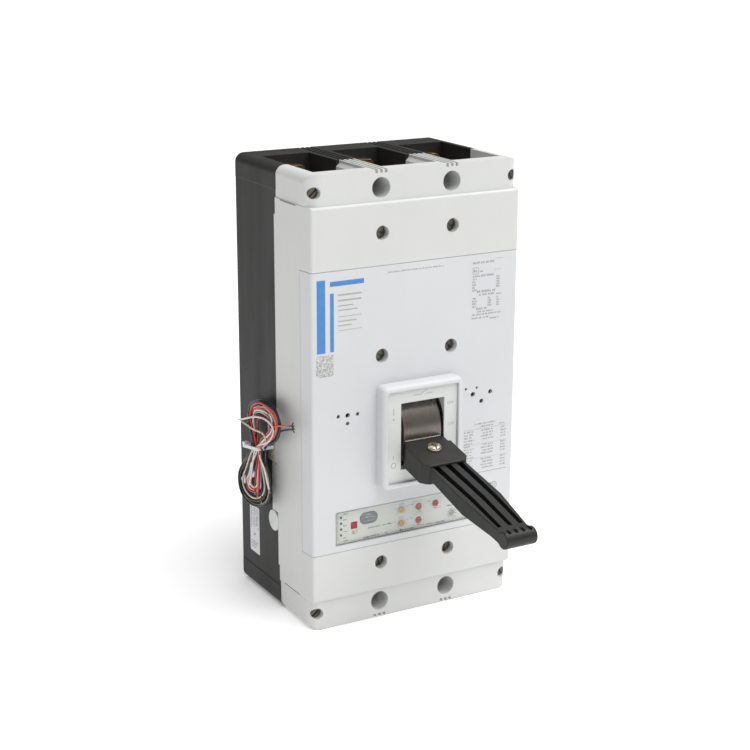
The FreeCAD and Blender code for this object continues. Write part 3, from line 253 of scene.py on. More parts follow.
def ink(name, colour, roughness=0.42):
    """Pad-printed ink: slightly uneven cover."""
    shader = Shader(name)
    patch = shader.noise(260.0, 4.0)
    fine = shader.noise(2500.0, 2.0)
    cover = shader.spread(patch, 0, 1)
    shader.link("Base Color", shader.mix(cover, shade(colour, 0.93), shade(colour, 1.06)))
    shader.link("Roughness", shader.spread(fine, roughness - 0.06, roughness + 0.08))
    shader.link("Normal", shader.bump(fine, 0.006 * MM))
    return shader.material


# ---------------------------------------------------------------- the leads

LEAD_DIAMETER = 1.7
LEAD_EXIT = (-105.2, -69.8, -40.0)

# One full turn of the hank, seen from the left side, as (y, z) in mm: down through the
# waist at the right, round the bottom loop, up through the waist and round the top loop.
HANK_TURN = [
    (-71.5, -60), (-80, -73), (-83.8, -87), (-77.8, -99), (-60.8, -110), (-40.8, -114.5),
    (-23.8, -112), (-14.3, -104), (-14.3, -93), (-25.8, -78), (-44, -62), (-48, -52),
    (-41.8, -40), (-36.8, -30), (-41.8, -18), (-58.8, -9), (-77.8, -7), (-94.8, -9),
    (-103.8, -18), (-100.8, -29), (-88.8, -39), (-73, -50),
]
UP_TURN = 11                # points of a turn that lead up to the waist again
TOP_MIDDLE = Vector((-69.8, -31.0))
WAIST_MIDDLE = Vector((-59.3, -54.0))
BOTTOM_MIDDLE = Vector((-49.8, -89.0))
TOP_BELOW = -42.0
BOTTOM_ABOVE = -68.0
WAIST_HALF = 12.4           # room inside the tie
HANK_X = -114.0             # middle of the hank's thickness
LEAN = Vector((2.1, -0.79))  # how far a lead shifts for each mm behind the middle
TURN_LEAN = 0.9

INSULATION = {
    "blue": insulation("lead_blue", srgb(44, 78, 146)),
    "navy": insulation("lead_navy", srgb(26, 36, 70)),
    "black": insulation("lead_black", srgb(30, 29, 30)),
    "white": insulation("lead_white", srgb(228, 226, 222)),
    "cream": insulation("lead_cream", srgb(208, 198, 174)),
    "orange": insulation("lead_orange", srgb(208, 70, 28)),
    "red": insulation("lead_red", srgb(172, 40, 28)),
}

# Each lead: its colour, its first and last distance from the side, the size of each turn
# at the top, waist and bottom of the hank, whether half a turn follows them, the points of
# its free end, and its length.
LEADS = {
    "lead_1_blue": ("blue", -109.4, -111.4, [(1.0, 1.0, 0.6), (0.93, 0.7, 0.7)], True,
        [(-63.8, -49), (-76.8, -41), (-90.8, -33), (-100.8, -27.5), (-111.8, -22), (-124, -18)], 0.81),
    "lead_2_navy": ("navy", -108.6, -110.6, [(0.95, 0.9, 0.93), (0.99, 0.72, 0.72)], False,
        [(-65.8, -66), (-67.8, -78), (-65.8, -90), (-58.8, -99), (-53.8, -105)], 0.70),
    "lead_3_black": ("black", -112.0, -115.0, [(0.9, 0.95, 1.0), (0.86, 0.8, 0.94)], False,
        [(-71.8, -66), (-72.8, -78), (-70.8, -90), (-63.8, -100)], 0.70),
    "lead_4_black": ("black", -108.2, -111.0, [(0.97, 1.0, 0.97), (0.8, 0.9, 0.9)], False,
        [(-75.8, -64), (-76.8, -76), (-78.8, -88)], 0.69),
    "lead_5_white": ("white", -113.6, -120.4, [(0.86, 0.5, 0.3)], True,
        [(-65.8, -51), (-78.8, -44), (-88.8, -35), (-91.8, -28), (-84.8, -24), (-72.8, -23),
         (-59.8, -25), (-46.8, -28.5), (-33.3, -34), (-19.8, -39)], 0.47),
    "lead_6_cream": ("cream", -114.4, -119.8, [(0.8, 0.9, 0.9)], True,
        [(-58.8, -53), (-67.5, -50), (-75, -46), (-75.5, -40.5), (-68, -37.6), (-58.8, -38.6),
         (-46.8, -39.8), (-36.8, -39.2), (-27.3, -39.2)], 0.54),
    "lead_7_orange": ("orange", -115.2, -118.8, [(0.82, 0.5, 0.38), (0.72, 0.4, 0.42)], True,
        [(-62.8, -53), (-68.8, -46), (-74.8, -38), (-81.3, -32), (-89.8, -26),
         (-97.8, -22.5), (-108.8, -19.5), (-122.8, -15.5)], 0.70),
    "lead_8_orange": ("orange", -116.4, -119.4, [(0.87, 0.4, 0.3)], False,
        [(-65.8, -66), (-59.8, -78), (-59.3, -90), (-55.8, -101)], 0.31),
    "lead_9_red": ("red", -113.2, -118.6, [(0.66, 0.3, 0.36), (0.42, 0.3, 0.3)], False,
        [(-57.8, -64), (-54.8, -76), (-51.8, -88), (-50.8, -98)], 0.49),
    "lead_10_white": ("white", -112.0, -119.4, [(0.72, 0.3, 0.3)], False,
        [(-69.8, -62), (-70.8, -70), (-74.8, -78), (-79.8, -87)], 0.29),
    "lead_11_black": ("black", -116.8, -118.2, [(0.95, 0.8, 0.97), (0.9, 0.5, 0.82)], False,
        [(-68.8, -67), (-64.8, -80), (-66.8, -93), (-63.8, -103)], 0.70),
    "lead_12_white": ("white", -112.8, -119.0, [(0.58, 0.7, 0.36), (0.64, 0.7, 0.4)], False,
        [(-53.8, -62), (-45.8, -72), (-41.8, -82), (-40.3, -94)], 0.51),
    "lead_13_blue": ("blue", -112.8, -117.8, [(0.84, 0.4, 0.8), (0.78, 0.3, 0.6)], False,
        [(-59.8, -64), (-52.8, -76), (-47.8, -84)], 0.63),
    "lead_14_navy": ("navy", -115.4, -117.6, [(0.78, 0.9, 0.86), (0.98, 0.8, 0.6)], False,
        [(-49.8, -64), (-39.8, -76), (-31.8, -87), (-30.3, -95)], 0.65),
}

# What each lead ends in: splayed strands, or a sleeve; leads not listed end in bare strands.
ENDS = {
    "lead_7_orange": "splayed",
    "lead_1_blue": "splayed",
    "lead_12_white": "sleeve",
    "lead_13_blue": "sleeve",
    "lead_2_navy": "sleeve",
    "lead_14_navy": "sleeve",
}


def hank_turn(top, waist, bottom):
    """The turn's points with each loop of the hank drawn in towards its own middle."""
    points = []
    for y, z in HANK_TURN:
        middle, size = WAIST_MIDDLE, waist
        if z > TOP_BELOW:
            middle, size = TOP_MIDDLE, top
        elif z < BOTTOM_ABOVE:
            middle, size = BOTTOM_MIDDLE, bottom
        points.append(middle + size * (Vector((y, z)) - middle))
    return points


def lead_route(first_x, last_x, turns, half_turn, tail, rng):
    """Points of one lead in mm: out of the collar, through its turns and along its free end."""
    flat = []
    for sizes in turns:
        drift = Vector((rng.uniform(-2.5, 2.5), rng.uniform(-2.0, 2.0)))
        for point in hank_turn(*sizes):
            flat.append(point + drift + Vector((rng.uniform(-1.3, 1.3), rng.uniform(-1.3, 1.3))))
    if half_turn:
        top, waist, bottom = turns[-1]
        flat += hank_turn(top, waist, 0.75 * bottom)[:UP_TURN]
    looped = len(flat)
    flat += [Vector(point) for point in tail]
    x, y, z = LEAD_EXIT
    y += rng.uniform(-2.6, 2.6)
    z += rng.uniform(-2.6, 2.6)
    route = [Vector((x, y, z)), Vector((x - 3.5, y - 0.5, z - 2.0))]
    phase = rng.uniform(0, 2 * math.pi)
    for index, point in enumerate(flat):
        share = index / (len(flat) - 1)
        wave = 0.5 * math.sin(phase + 2 * math.pi * index / len(HANK_TURN))
        x = first_x + (last_x - first_x) * share ** 0.7 + wave
        lean = TURN_LEAN if index < looped else 1.0
        y, z = point + lean * (x - HANK_X) * LEAN
        if BOTTOM_ABOVE + 5.0 < z < TOP_BELOW and index < looped + 2:
            y = min(max(y, WAIST_MIDDLE.x - WAIST_HALF), WAIST_MIDDLE.x + WAIST_HALF)
        route.append(Vector((x, y, z)))
    return route


def add_cord(name, route, diameter, material):
    """A round cord on a smooth line through the route's control points."""
    curve = bpy.data.curves.new(name, "CURVE")
    curve.dimensions = "3D"
    curve.bevel_depth = diameter / 2 * MM
    curve.bevel_resolution = 3
    curve.use_fill_caps = True
    curve.resolution_u = 6
    spline = curve.splines.new("NURBS")
    spline.points.add(len(route) - 1)
    for point, place in zip(spline.points, route):
        point.co = (*(place * MM), 1.0)
    spline.order_u = 3
    spline.use_endpoint_u = True
    curve.materials.append(material)
    made = bpy.data.objects.new(name, curve)
    bpy.context.scene.collection.objects.link(made)
    return made


TUBE_SIDES = 10


def tubes(name, paths, material, body="case"):
    """Thin round rods as one mesh; each path is its points in mm and its radius."""
    parts = bmesh.new()
    for points, radius in paths:
        rings = []
        for index, point in enumerate(points):
            before = points[max(index - 1, 0)]
            after = points[min(index + 1, len(points) - 1)]
            turn = (after - before).to_track_quat("Z", "Y")
            ring = []
            for step in range(TUBE_SIDES):
                angle = 2 * math.pi * step / TUBE_SIDES
                spoke = turn @ Vector((math.cos(angle) * radius, math.sin(angle) * radius, 0))
                ring.append(parts.verts.new((point + spoke) * MM))
            rings.append(ring)
        parts.faces.new(list(reversed(rings[0])))
        parts.faces.new(rings[-1])
        for low, high in zip(rings, rings[1:]):
            for step in range(TUBE_SIDES):
                turned = (step + 1) % TUBE_SIDES
                parts.faces.new((low[step], low[turned], high[turned], high[step]))
    return mesh_piece(name, parts, material, body, smooth=True)


def mesh_piece(name, parts, material, body, smooth=False):
    """Turns a bmesh into a piece that rides on a body."""
    bmesh.ops.recalc_face_normals(parts, faces=parts.faces)
    mesh = bpy.data.meshes.new(name)
    parts.to_mesh(mesh)
    parts.free()
    mesh.materials.append(material)
    for polygon in mesh.polygons:
        polygon.use_smooth = smooth and len(polygon.vertices) == 4
    made = bpy.data.objects.new(name, mesh)
    bpy.context.scene.collection.objects.link(made)
    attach(made, body)
    return made


def add_lead_end(name, route):
    """Stripped strands or a sleeve on the free end of a lead."""
    tip = route[-1]
    along = (route[-1] - route[-2]).normalized()
    side = along.cross(Vector((1, 0, 0))).normalized()
    kind = ENDS.get(name)
    if kind == "sleeve":
        path = [tip - 6.5 * along, tip - 3.0 * along, tip + 1.2 * along]
        return tubes(name + "_sleeve", [(path, 1.35)], SLEEVE)
    spread = 0.7 if kind == "splayed" else 0.12
    radius = 0.5 if kind == "splayed" else 0.24
    length = 9.0 if kind == "splayed" else 4.0
    paths = []
    for amount in (-1.0, 0.0, 1.0):
        aim = (along + spread * amount * side).normalized()
        start = tip - 0.6 * along + 0.2 * amount * side
        paths.append(([start, start + 0.5 * length * along, start + 0.5 * length * (along + aim)], radius))
    return tubes(name + "_tip", paths, INSULATION["black"] if kind else TINNED)


def add_leads():
    """All leads of the hank, each with its free end."""
    for number, (name, lead) in enumerate(LEADS.items()):
        colour, first_x, last_x, turns, half_turn, tail, length = lead
        rng = random.Random(number + 11)
        route = lead_route(first_x, last_x, turns, half_turn, tail, rng)
        cord = add_cord(name, route, LEAD_DIAMETER, INSULATION[colour])
        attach(cord, "case")
        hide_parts("lead_hank")
        extras = [add_lead_end(name, route).name]
        if number == 0:
            extras.append("hank_cable_tie")


SLEEVE = insulation("lead_sleeve", srgb(226, 224, 234), 0.5)
TINNED = metal("lead_strands", srgb(190, 170, 140), 0.35, brush=(300.0, 300.0, 2500.0))
add_leads()

# ---------------------------------------------------------------- materials of the CAD parts


def braid(name, colour):
    """Woven copper braid: crossed bands of fine wires."""
    shader = Shader(name, metallic=1.0)
    one = shader.node(
        "ShaderNodeTexWave",
        {"Vector": shader.coords, "Scale": 260.0, "Distortion": 1.2, "Detail": 2.0},
        bands_direction="DIAGONAL",
    ).outputs["Fac"]
    other = shader.noise(1.0, 2.0, shader.stretched((1800.0, 500.0, 500.0)))
    blot = shader.noise(120.0, 4.0)
    base = shader.mix(one, shade(colour, 0.45), shade(colour, 1.15))
    base = shader.mix(shader.spread(blot, 0.0, 0.5), base, shade(colour, 0.6))
    shader.link("Base Color", base)
    shader.link("Roughness", shader.spread(other, 0.3, 0.5))
    shader.link("Normal", shader.bump(one, 0.15 * MM))
    return shader.material


def fibre(name, colour):
    """Pressed fibre board: long pale strands in a matt sheet."""
    shader = Shader(name)
    strands = shader.noise(1.0, 5.0, shader.stretched((300.0, 900.0, 120.0)))
    base = shader.mix(shader.spread(strands, 0, 1), shade(colour, 0.75), shade(colour, 1.2))
    shader.link("Base Color", base)
    shader.link("Roughness", shader.spread(strands, 0.7, 0.9))
    shader.link("Normal", shader.bump(strands, 0.06 * MM))
    return shader.material


def clear(name):
    """Clear flap: mostly see-through, with faint handling marks; its edges are made more opaque and white as
    a painted highlight.
    """
    shader = Shader(name)
    haze = shader.noise(55.0, 5.0)
    scuffs = shader.noise(1.0, 3.0, shader.stretched((900.0, 200.0, 60.0)))
    normal, edges = shader.soft_edges(0.5 * MM)
    veil = shader.spread(haze, 0.05, 0.10)
    # Painted highlight: the rounded edges are made more opaque, so they show white.
    veil = shader.math("ADD", veil, shader.math("MULTIPLY", edges, 0.35))
    veil = shader.math("ADD", veil, shader.spread(scuffs, 0.0, 0.05, 0.6, 0.8))
    shader.link("Alpha", veil)
    tone = shader.mix(shader.spread(haze, 0, 1), srgb(206, 214, 212), srgb(226, 230, 230))
    shader.link("Base Color", tone)
    shader.link("Roughness", shader.spread(scuffs, 0.06, 0.22))
    shader.link("Normal", shader.bump(scuffs, 0.004 * MM, normal))
    return shader.material


MATERIALS = {
    # base_black: its strong edge lift paints highlight lines along its edges.
    "base_black": moulded("base_black", srgb(42, 42, 41), 0.5, 0.06, 0.03, 0.8, 0.7, 0.9, 0.3, 3.2,
        Specular_IOR_Level=0.22),
    "cover_white": moulded("cover_white", srgb(212, 213, 211), 0.46, 0.014, 0.02, 0.7, 0.7, 0.3, 0.16, 1.05),
    "accessory_cover_white": moulded(
        "accessory_cover_white", srgb(212, 213, 215), 0.44, 0.014, 0.02, 0.7, 0.7, 0.3, 0.14, 1.05),
    "inlay_white": moulded("inlay_white", srgb(219, 221, 218), 0.4, 0.015, 0.006, 1.4, 0.15, 0.2, 0.12, 1.05),
    "cover_screw_steel": metal("cover_screw_steel", srgb(98, 95, 86), 0.3, edge=0.4),
    "corner_screw_steel": metal("corner_screw_steel", srgb(100, 98, 90), 0.32, edge=0.4),
    "conductor_bronze": metal("conductor_bronze", srgb(188, 158, 116), 0.34, (70.0, 70.0, 900.0)),
    "contact_silver": metal("contact_silver", srgb(206, 204, 196), 0.32, (300.0, 300.0, 300.0)),
    "arm_copper": metal("arm_copper", srgb(190, 112, 74), 0.36, (60.0, 700.0, 60.0)),
    "pin_steel": metal("pin_steel", srgb(172, 172, 168), 0.24, (60.0, 900.0, 900.0)),
    "crossbar_moulding": moulded("crossbar_moulding", srgb(74, 52, 40), 0.55, 0.10, 0.04, lift=1.4),
    "shunt_copper": braid("shunt_copper", srgb(196, 122, 82)),
    "arc_plate_steel": metal("arc_plate_steel", srgb(126, 122, 116), 0.4, (80.0, 80.0, 900.0)),
    "arc_cheek_fibre": fibre("arc_cheek_fibre", srgb(176, 164, 140)),
    "handle_black": moulded(
        "handle_black", srgb(122, 116, 109), 0.28, 0.09, 0.004, 0.5, 0.4, 0.35, 0.6, 1.3, metallic=0.7),
    "mechanism_steel": metal("mechanism_steel", srgb(176, 170, 148), 0.36, (60.0, 200.0, 900.0)),
    "extension_black": moulded(
        "extension_black", srgb(35, 34, 33), 0.46, 0.07, 0.035, 0.9, 0.6, 0.6, 0.35, 2.2,
        Specular_IOR_Level=0.4),
    "extension_screw_chrome": metal(
        "extension_screw_chrome", srgb(224, 212, 190), 0.15, (200.0, 200.0, 500.0), 0.06, 0.003),
    "spring_steel": metal("spring_steel", srgb(160, 160, 158), 0.3, (900.0, 900.0, 900.0)),
    "trip_unit_black": moulded("trip_unit_black", srgb(40, 41, 42), 0.5, 0.06, 0.03, lift=1.7),
    "faceplate_grey": moulded(
        "faceplate_grey", srgb(215, 218, 210), 0.36, 0.016, 0.008, 0.9, 0.3, 0.2, 0.15, 1.05),
    "port_smoked": moulded("port_smoked", srgb(94, 104, 108), 0.22, 0.06, 0.004, 1.0, 0.5, 0.5, 0.3, 1.5),
    "led_lens": moulded("led_lens", srgb(62, 72, 64), 0.2, 0.05, 0.003, 0.5, 0.3, 0.4, 0.3, 1.4),
    "dial_yellow": moulded("dial_yellow", srgb(228, 184, 76), 0.42, 0.04, 0.01, 0.5, 0.3, 0.4, 0.4, 1.2),
    "dial_red": moulded("dial_red", srgb(202, 62, 78), 0.42, 0.04, 0.01, 0.5, 0.3, 0.4, 0.4, 1.25),
    "dial_grey": moulded("dial_grey", srgb(186, 188, 182), 0.42, 0.03, 0.01, 0.5, 0.3, 0.4, 0.4, 1.1),
    "button_red": moulded("button_red", srgb(168, 26, 32), 0.3, 0.04, 0.004, 0.6, 0.4, 0.4, 0.3, 1.35),
    "flap_clear": clear("flap_clear"),
    "trip_bar_moulding": moulded("trip_bar_moulding", srgb(60, 52, 46), 0.52, 0.08, 0.03, lift=1.4),
    "actuator_steel": metal("actuator_steel", srgb(150, 152, 154), 0.38, (900.0, 80.0, 80.0)),
    "transformer_core": metal("transformer_core", srgb(96, 92, 90), 0.5, (50.0, 50.0, 2600.0), 0.3, 0.06),
    "auxiliary_black": moulded("auxiliary_black", srgb(48, 48, 50), 0.45, 0.06, 0.02, lift=1.7),
    "grommet_cream": moulded("grommet_cream", srgb(240, 235, 220), 0.5, 0.03, 0.02, 0.8, 0.6, 0.3, 0.4, 1.05),
    "lead_wires": INSULATION["black"],
    "tie_nylon": moulded("tie_nylon", srgb(228, 229, 230), 0.34, 0.03, 0.01, 0.8, 0.4, 0.3, 0.4, 1.06),
    "seal_white": moulded("seal_white", srgb(230, 232, 229), 0.4, 0.03, 0.02, 0.8, 0.3, 0.3, 0.4, 1.05),
}


def dress_nodes():
    """Gives every CAD node the material of its slot."""
    for part in frame["record"]["subparts"]:
        for slot in NODES[part["node"]].material_slots:
            slot.material = MATERIALS[part["material_slot"]]


dress_nodes()

# ---------------------------------------------------------------- printed marks


class Marks:
    """Flat marks on one face, gathered into one mesh. Lengths in mm; (u, v) lie on the face."""

    def __init__(self, origin, across, thick=0.06):
        across = Vector(across)
        up = Vector((0, 0, 1))
        self.place = Matrix((across, up, across.cross(up))).transposed().to_4x4()
        self.place.translation = Vector(origin)
        self.thick = thick
        self.parts = bmesh.new()

    def rim(self, outline, height):
        return [self.parts.verts.new((self.place @ Vector((u, v, height))) * MM) for u, v in outline]

    def slab(self, outline):
        low, high = self.rim(outline, -0.02), self.rim(outline, self.thick)
        self.parts.faces.new(list(reversed(low)))
        self.parts.faces.new(high)
        for n in range(len(outline)):
            m = (n + 1) % len(outline)
            self.parts.faces.new((low[n], low[m], high[m], high[n]))

    def band(self, outer, inner):
        """Slab between two outlines with the same number of points."""
        rims = [self.rim(line, height) for line in (outer, inner) for height in (-0.02, self.thick)]
        outer_low, outer_high, inner_low, inner_high = rims
        for n in range(len(outer)):
            m = (n + 1) % len(outer)
            self.parts.faces.new((outer_low[n], outer_low[m], outer_high[m], outer_high[n]))
            self.parts.faces.new((inner_low[m], inner_low[n], inner_high[n], inner_high[m]))
            self.parts.faces.new((outer_high[n], outer_high[m], inner_high[m], inner_high[n]))
            self.parts.faces.new((outer_low[m], outer_low[n], inner_low[n], inner_low[m]))

    def bar(self, u0, v0, u1, v1):
        self.slab([(u0, v0), (u1, v0), (u1, v1), (u0, v1)])

    def stroke(self, start, end, width):
        """Straight line from start to end."""
        start, end = Vector(start), Vector(end)
        along = (end - start).normalized()
        side = Vector((-along.y, along.x)) * width / 2
        self.slab([start - side, end - side, end + side, start + side])

    def frame(self, u0, v0, u1, v1, width):
        outer = [(u0, v0), (u1, v0), (u1, v1), (u0, v1)]
        inner = [(u0 + width, v0 + width), (u1 - width, v0 + width),
                 (u1 - width, v1 - width), (u0 + width, v1 - width)]
        self.band(outer, inner)

    def circle(self, u, v, radius, squeeze=1.0, count=28):
        turns = [2 * math.pi * n / count for n in range(count)]
        return [(u + radius * math.cos(t), v + radius * squeeze * math.sin(t)) for t in turns]

    def disc(self, u, v, radius):
        self.slab(self.circle(u, v, radius))

    def ring(self, u, v, radius, width, squeeze=1.0):
        self.band(self.circle(u, v, radius, squeeze), self.circle(u, v, radius - width, squeeze))

    def words(self, u0, u1, v, height, rng):
        """A line of unreadable text: a row of short bars in word-like groups."""
        u = u0
        left = rng.randint(2, 6)
        while u < u1 - 0.4 * height:
            width = min(rng.uniform(0.35, 0.75) * height, u1 - u)
            drop = rng.choice((0.0, 0.0, 0.25)) * height
            self.bar(u, v - height / 2, u + width, v + height / 2 - drop)
            u += width + 0.22 * height
            left -= 1
            if left == 0:
                u += 0.6 * height
                left = rng.randint(2, 6)

    def ticks(self, u, v, inner, outer, count, rng):
        """Scale marks round a dial, over the upper three quarters of the turn."""
        for n in range(count):
            turn = math.radians(-45 + 270 * n / (count - 1))
            aim = Vector((math.cos(turn), math.sin(turn)))
            reach = outer + rng.choice((0.0, 0.5))
            self.stroke(Vector((u, v)) + inner * aim, Vector((u, v)) + reach * aim, 0.5)

    def text(self, words, u, v, height):
        """Lettering centred on (u, v)."""
        font = bpy.data.curves.new("lettering", "FONT")
        font.body = words
        font.size = height / 0.72
        font.align_x = "CENTER"
        font.extrude = self.thick / 2 + 0.01
        letters = bpy.data.objects.new("lettering", font)
        bpy.context.scene.collection.objects.link(letters)
        made = bpy.data.meshes.new_from_object(letters.evaluated_get(bpy.context.evaluated_depsgraph_get()))
        made.transform(Matrix.Translation((u, v - height / 2, self.thick / 2)))
        made.transform(self.place)
        made.transform(Matrix.Scale(MM, 4))
        self.parts.from_mesh(made)
        bpy.data.objects.remove(letters)
        bpy.data.curves.remove(font)
        bpy.data.meshes.remove(made)

    def piece(self, name, material, body="case"):
        return mesh_piece(name, self.parts, material, body)


def front_of(node):
    """Y in mm of a node's front face."""
    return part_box(node)[0].y / MM


FRONT_Y = -144.0            # face of the accessory cover
SIDE_X = -103.8             # left side of the base
INK_BLUE = ink("ink_blue", srgb(72, 134, 198))
INK_GREY = ink("ink_grey", srgb(160, 160, 158))
INK_PALE = ink("ink_pale", srgb(170, 168, 162))
INK_MID = ink("ink_mid", srgb(160, 160, 158))
INK_DARK = ink("ink_dark", srgb(86, 92, 88))
INK_SCALE = ink("ink_scale", srgb(112, 122, 172))
INK_GREEN = ink("ink_green", srgb(134, 184, 156))
INK_ROSE = ink("ink_rose", srgb(196, 112, 134))


def front_marks(name, material, draw):
    """One piece of print on the front cover, drawn by a function."""
    marks = Marks((0, FRONT_Y, 0), (1, 0, 0))
    draw(marks)
    marks.piece(name, material)


def draw_blue(marks):
    """Two upright bars and one plain level bar."""
    marks.bar(-98.1, 51.4, -90.0, 114.6)
    marks.bar(-85.5, 51.7, -81.9, 102.5)
    marks.bar(-85.5, 108.4, -52.9, 112.6)


def draw_small_lines(marks):
    """Plain thin bars right of the blue ones, in the place of small print."""
    for width, v, height in (
        (22.4, 100.4, 1.4), (22.4, 95.6, 1.4), (14.6, 91.0, 1.0), (18.8, 87.2, 1.0),
        (22.6, 81.6, 0.6), (18.0, 77.6, 1.0), (13.2, 73.8, 1.0), (22.6, 69.6, 0.5),
    ):
        marks.bar(-77.8, v - height / 2, width - 77.8, v + height / 2)


def draw_patch(marks):
    """Mottled square of random cells."""
    rng = random.Random(23)
    pitch_u, pitch_v = 16.6 / 22, 19.0 / 22
    for row in range(22):
        start = None
        for column in range(23):
            filled = column < 22 and rng.random() < 0.56
            if filled and start is None:
                start = column
            elif not filled and start is not None:
                marks.bar(-99.1 + start * pitch_u, 30.6 + row * pitch_v,
                          -99.1 + column * pitch_u, 30.6 + (row + 0.98) * pitch_v)
                start = None


def draw_rating_block(marks):
    """Rows and columns of unreadable figures at the top right."""
    rng = random.Random(41)
    marks.words(-29.6, 26.5, 114.9, 1.3, rng)
    marks.words(56.3, 79.5, 113.6, 2.0, rng)
    marks.bar(80.2, 115.6, 88.0, 115.9)
    marks.frame(56.3, 103.4, 62.4, 109.4, 0.5)
    marks.words(57.3, 61.6, 106.4, 2.4, rng)
    marks.words(63.6, 68.5, 105.6, 1.5, rng)
    marks.bar(79.0, 105.6, 86.5, 105.9)
    marks.words(56.3, 80.0, 101.6, 1.7, rng)
    for n in range(5):
        marks.words(56.3, 60.6 - 0.3 * (n % 2), 98.9 - 2.5 * n, 1.6, rng)
        marks.words(81.4, 85.2, 99.6 - 2.3 * n, 1.6, rng)
    marks.words(61.2, 80.6, 87.4, 2.0, rng)
    marks.words(63.4, 79.4, 84.4, 1.7, rng)
    marks.words(81.6, 86.8, 83.6, 1.3, rng)
    for n in range(4):
        marks.words(56.3 + 0.6 * (n == 0), 60.8, 81.6 - 2.5 * n, 1.7, rng)
        marks.words(72.6, 76.6, 81.0 - 2.3 * n, 1.7, rng)
        marks.words(81.8, 84.8, 80.6 - 2.3 * n, 1.5, rng)
    marks.words(60.6, 71.6, 71.8, 1.9, rng)
    marks.words(62.0, 79.6, 69.2, 1.4, rng)
    marks.words(56.3, 86.8, 66.6, 1.5, rng)
    marks.words(56.3, 73.6, 63.6, 1.6, rng)
    marks.words(75.2, 84.6, 62.0, 1.4, rng)


def draw_torque_table(marks):
    """Table of unreadable figures right of the handle."""
    rng = random.Random(57)
    marks.words(62.0, 84.0, -35.6, 1.5, rng)
    marks.words(68.0, 82.0, -38.4, 1.3, rng)
    marks.words(88.0, 95.0, -38.4, 1.3, rng)
    marks.bar(50.4, -40.4, 96.5, -40.1)
    for n in range(15):
        v = -42.2 - 2.75 * n
        marks.words(50.4, 61.5 - 1.6 * (n % 3), v, 1.5, rng)
        if n % 5 != 4:
            marks.words(69.0 + 1.6 * (n % 2), 82.0, v, 1.5, rng)
            marks.words(90.0, 95.6, v, 1.4, rng)
        else:
            marks.bar(50.4, v - 1.5, 96.5, v - 1.3)
    marks.bar(50.4, -82.6, 96.5, -82.3)
    marks.ring(83.7, -97.0, 3.4, 0.7)
    marks.ring(83.7, -97.0, 1.6, 0.5)


def add_front_marks():
    front_marks("print_blue", INK_BLUE, draw_blue)
    front_marks("print_small_lines", INK_PALE, draw_small_lines)
    front_marks("print_patch", INK_PALE, draw_patch)
    front_marks("print_rating_block", INK_GREY, draw_rating_block)
    front_marks("print_torque_table", INK_MID, draw_torque_table)


def add_handle_marks():
    """Switch symbol, ON and OFF, and the bar and ring beside the handle."""
    marks = Marks((0, front_of("indicator_plate"), 0), (1, 0, 0))
    marks.stroke((-10.5, 5.7), (-2.4, 5.7), 0.45)
    marks.stroke((-2.4, 5.7), (4.4, 9.8), 0.45)
    marks.stroke((3.0, 5.7), (9.6, 5.7), 0.6)
    marks.text("ON", 28.2, -6.2, 2.9)
    marks.text("OFF", 29.3, -26.2, 2.9)
    marks.bar(-29.9, -9.8, -29.1, -3.6)
    marks.disc(-29.5, -13.7, 0.85)
    marks.bar(-29.9, -50.2, -29.2, -46.9)
    marks.ring(-29.4, -55.9, 2.7, 0.7)
    marks.piece("print_handle", INK_PALE)


